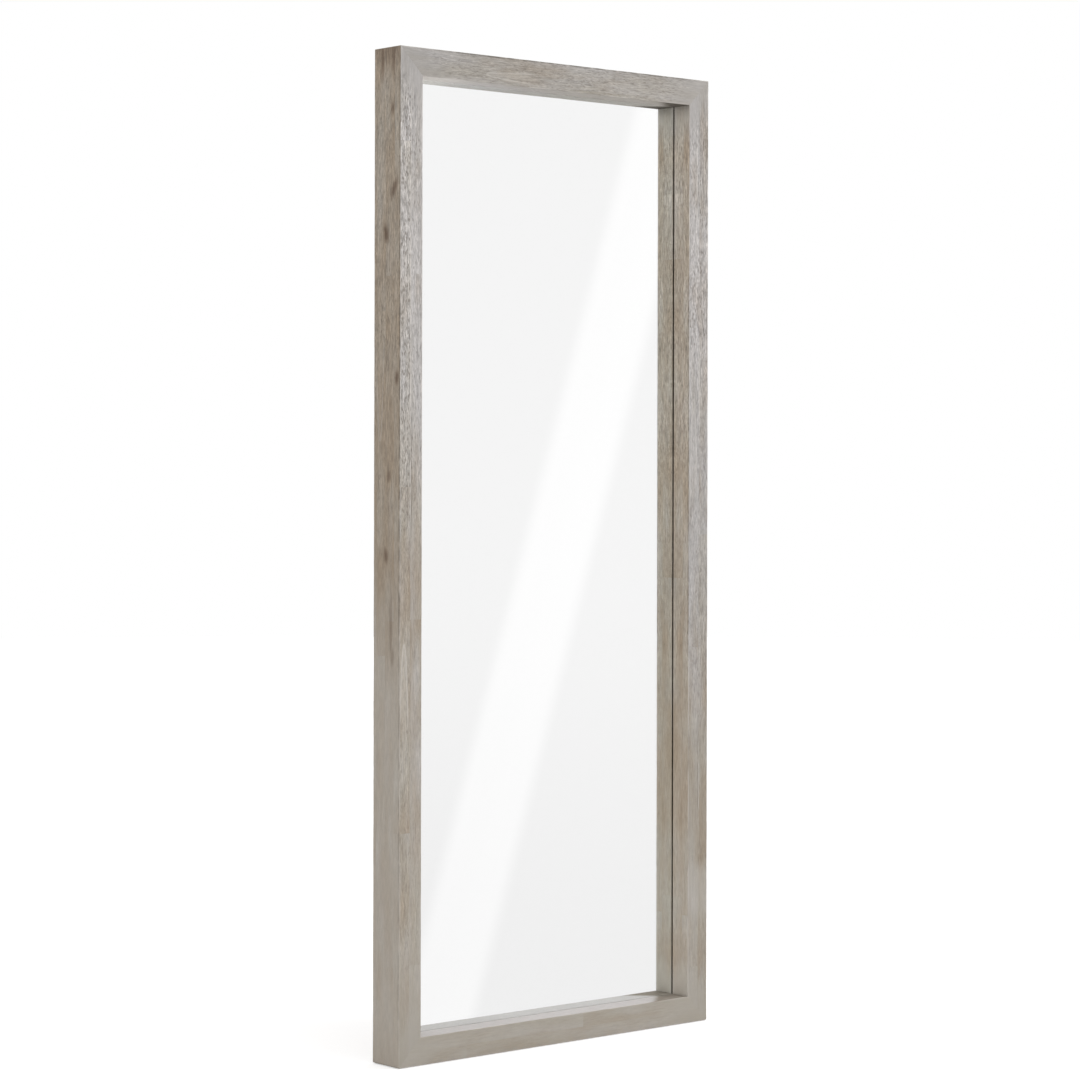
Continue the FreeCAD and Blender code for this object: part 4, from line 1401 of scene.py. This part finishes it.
@dataclass
class Studio:
    """A pale floor, a white surround, soft lamps and the camera.

    Only the glass and what is glossy show the strip lamp, whose middle plane has the strip normal.
    A ramp goes from one place to another and has a level at each. The mirrored tint makes up for
    the tint of the silver. The camera's numbers are in pixels of the photograph and in degrees.
    """

    floor_radius: float = 14.0
    floor_corners: int = 96
    floor_paper: Colour = (0.76, 0.76, 0.76, 1.0)
    floor_glow: float = 0.45
    surround: float = 0.84
    sky_ramp: tuple[float, ...] = (-0.2, 1.0, 0.92, 1.1)
    strip_normal: tuple[float, ...] = (0.7265, 0.6417, -0.2460)
    strip_half_width: float = 0.0078
    strip_edge: float = 0.006
    strip_level: float = 0.0805
    flank_ramp: tuple[float, ...] = (-0.004, 0.004, 0.9625, 0.9682)
    low_ramp: tuple[float, ...] = (-0.18, -0.02, 0.945, 1.0)
    mirrored_tint: tuple[float, ...] = (0.979, 0.95, 0.95)
    mirror_glow: float = 3.2
    glow_reach: float = 0.0012
    focal_length: float = 3056.5
    picture_height: float = 1087.0
    horizon: float = 471.0
    camera_yaw: float = 40.742
    camera_roll: float = 0.125
    camera_place: tuple[float, ...] = (-3.754, -4.3413, 1.0697)
    sensor: float = 36.0

    def floor(self) -> None:
        """A round white floor that keeps the mirror's shadow."""
        turns = [2 * math.pi * number / self.floor_corners for number in range(self.floor_corners)]
        rim = [Vector((math.cos(turn), math.sin(turn), 0)) * self.floor_radius for turn in turns]
        material = bpy.data.materials.new("studio_floor")
        material.use_nodes = True
        material.node_tree.nodes.clear()
        graph = Graph(material.node_tree)
        seen = graph.add("ShaderNodeLightPath").outputs["Is Camera Ray"]
        paper = graph.add("ShaderNodeBsdfDiffuse", {"Color": self.floor_paper})
        feeds = {"Color": WHITE, "Strength": graph.times(seen, self.floor_glow)}
        glow = graph.add("ShaderNodeEmission", feeds)
        both = graph.add("ShaderNodeAddShader", {0: paper.outputs[0], 1: glow.outputs[0]})
        graph.add("ShaderNodeOutputMaterial", {0: both.outputs[0]})
        mesh = new_mesh("studio_floor", rim, [tuple(range(len(rim)))], [material])
        floor = new_object("studio_floor", mesh)
        floor.visible_glossy = floor.visible_transmission = False
        floor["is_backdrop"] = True

    def world(self) -> None:
        """A white surround with one long strip lamp in it, which only glass and gloss show."""
        world = bpy.data.worlds.new("studio")
        bpy.context.scene.world = world
        world.use_nodes = True
        world.node_tree.nodes.clear()
        graph = Graph(world.node_tree)
        direction = graph.add("ShaderNodeTexCoord").outputs["Generated"]
        feeds = {0: direction, 1: self.strip_normal}
        aside = graph.add("ShaderNodeVectorMath", feeds, operation="DOT_PRODUCT").outputs["Value"]
        near, far = self.strip_half_width, self.strip_half_width + self.strip_edge
        strip = graph.remap(graph.math("ABSOLUTE", aside), near, far, 1.0, 0.0, "SMOOTHSTEP")
        flank = graph.remap(aside, *self.flank_ramp, "SMOOTHSTEP")
        tall = graph.split(direction)[2]
        low = graph.remap(tall, *self.low_ramp, "SMOOTHSTEP")
        shown = graph.plus(graph.times(flank, low), graph.times(strip, self.strip_level))
        rays = graph.add("ShaderNodeLightPath").outputs
        gloss = graph.math("MAXIMUM", rays["Is Glossy Ray"], rays["Is Transmission Ray"])
        plain = graph.times(graph.remap(tall, *self.sky_ramp), self.surround)
        colour = graph.blend(rays["Is Camera Ray"], plain, WHITE)
        mirrored = graph.vector("MULTIPLY", graph.join(shown, shown, shown), self.mirrored_tint)
        colour = graph.blend(gloss, colour, mirrored)
        back = graph.add("ShaderNodeBackground", {"Color": colour, "Strength": 1.0})
        graph.add("ShaderNodeOutputWorld", {0: back.outputs[0]})

    def lamp(self, name: str, place: Vector, turn: Quaternion, sizes: Span, power: float) -> None:
        """An area lamp that throws light and is not seen itself.

        Args:
            name: the lamp's name.
            place: its middle.
            turn: its rotation, with its light thrown along its own -Z.
            sizes: its sides.
            power: its power in watts.
        """
        data = bpy.data.lights.new(name, "AREA")
        data.shape = "RECTANGLE"
        data.size, data.size_y = sizes
        data.energy = power
        light = new_object(name, data)
        light.location = place
        light.rotation_mode = "QUATERNION"
        light.rotation_quaternion = turn
        light.visible_glossy = light.visible_transmission = light.visible_camera = False

    def key_lamp(
        self, azimuth: float, elevation: float, distance: float, size: float, power: float
    ) -> None:
        """A square soft lamp that looks at the middle of the mirror.

        Args:
            azimuth: degrees round from the front, towards the right.
            elevation: degrees above the middle.
            distance: from the middle.
            size: its side.
            power: its power in watts.
        """
        around, above = math.radians(azimuth), math.radians(elevation)
        out = math.cos(above)
        away = Vector((math.sin(around) * out, -math.cos(around) * out, math.sin(above)))
        low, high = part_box("backing_board")
        place = (low + high) / 2 + away * distance
        self.lamp("key_lamp", place, away.to_track_quat("Z", "Y"), (size, size), power)

    def mirror_light(self) -> None:
        """The light that the mirror throws back on the frame's inner sides and just behind its lip."""
        left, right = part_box("left_stile")[1].x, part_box("right_stile")[0].x
        bottom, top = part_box("bottom_rail")[1].z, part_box("top_rail")[0].z
        low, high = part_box("mirror_glass")
        depth = (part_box("left_glazing_tape")[0].y + low.y) / 2
        place = Vector(((low.x + high.x) / 2, depth, (bottom + top) / 2))
        sizes = right - left + 2 * self.glow_reach, top - bottom + 2 * self.glow_reach
        self.lamp("mirror_light", place, Quaternion((1, 0, 0), -math.pi / 2), sizes, self.mirror_glow)

    def camera(self) -> None:
        """The photograph's camera, solved from the corners of the frame."""
        yaw, roll = math.radians(self.camera_yaw), math.radians(self.camera_roll)
        data = bpy.data.cameras.new("camera")
        data.sensor_width = self.sensor
        data.lens = self.focal_length / self.picture_height * self.sensor
        data.shift_y = (self.horizon - self.picture_height / 2) / self.picture_height
        ahead = Vector((math.sin(yaw), math.cos(yaw), 0))
        aside, up = Vector((math.cos(yaw), -math.sin(yaw), 0)), Vector((0, 0, 1))
        tilted = aside * math.cos(roll) + up * math.sin(roll)
        raised = up * math.cos(roll) - aside * math.sin(roll)
        turn = Matrix((tilted, raised, -ahead)).transposed().to_4x4()
        camera = new_object("camera", data)
        camera.matrix_world = Matrix.Translation(self.camera_place) @ turn
        bpy.context.scene.camera = camera

    def build(self) -> None:
        """Sets up the whole studio."""
        self.floor()
        self.world()
        self.key_lamp(azimuth=50.0, elevation=46.0, distance=4.6, size=1.2, power=80.0)
        self.mirror_light()
        self.camera()
        bpy.context.scene.view_settings.view_transform = "Standard"


def main() -> None:
    """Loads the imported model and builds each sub-assembly."""
    logging.basicConfig(level=logging.INFO, format="%(message)s")
    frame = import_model()
    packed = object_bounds()
    effects = Effects()
    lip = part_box("left_glazing_tape")[0].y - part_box("left_stile")[0].y
    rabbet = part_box("bottom_rail")[1].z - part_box("bottom_batten")[0].z
    BoxFrame(lip, rabbet).build(effects)
    MirrorPane().build(effects)
    Fittings(frame["nodes"]).build(effects)
    Studio().build()
    boxes = {"packed": packed, "shown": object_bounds()}
    json.dumps({name: [list(corner) for corner in box] for name, box in boxes.items()})


if __name__ == "__main__":
    main()
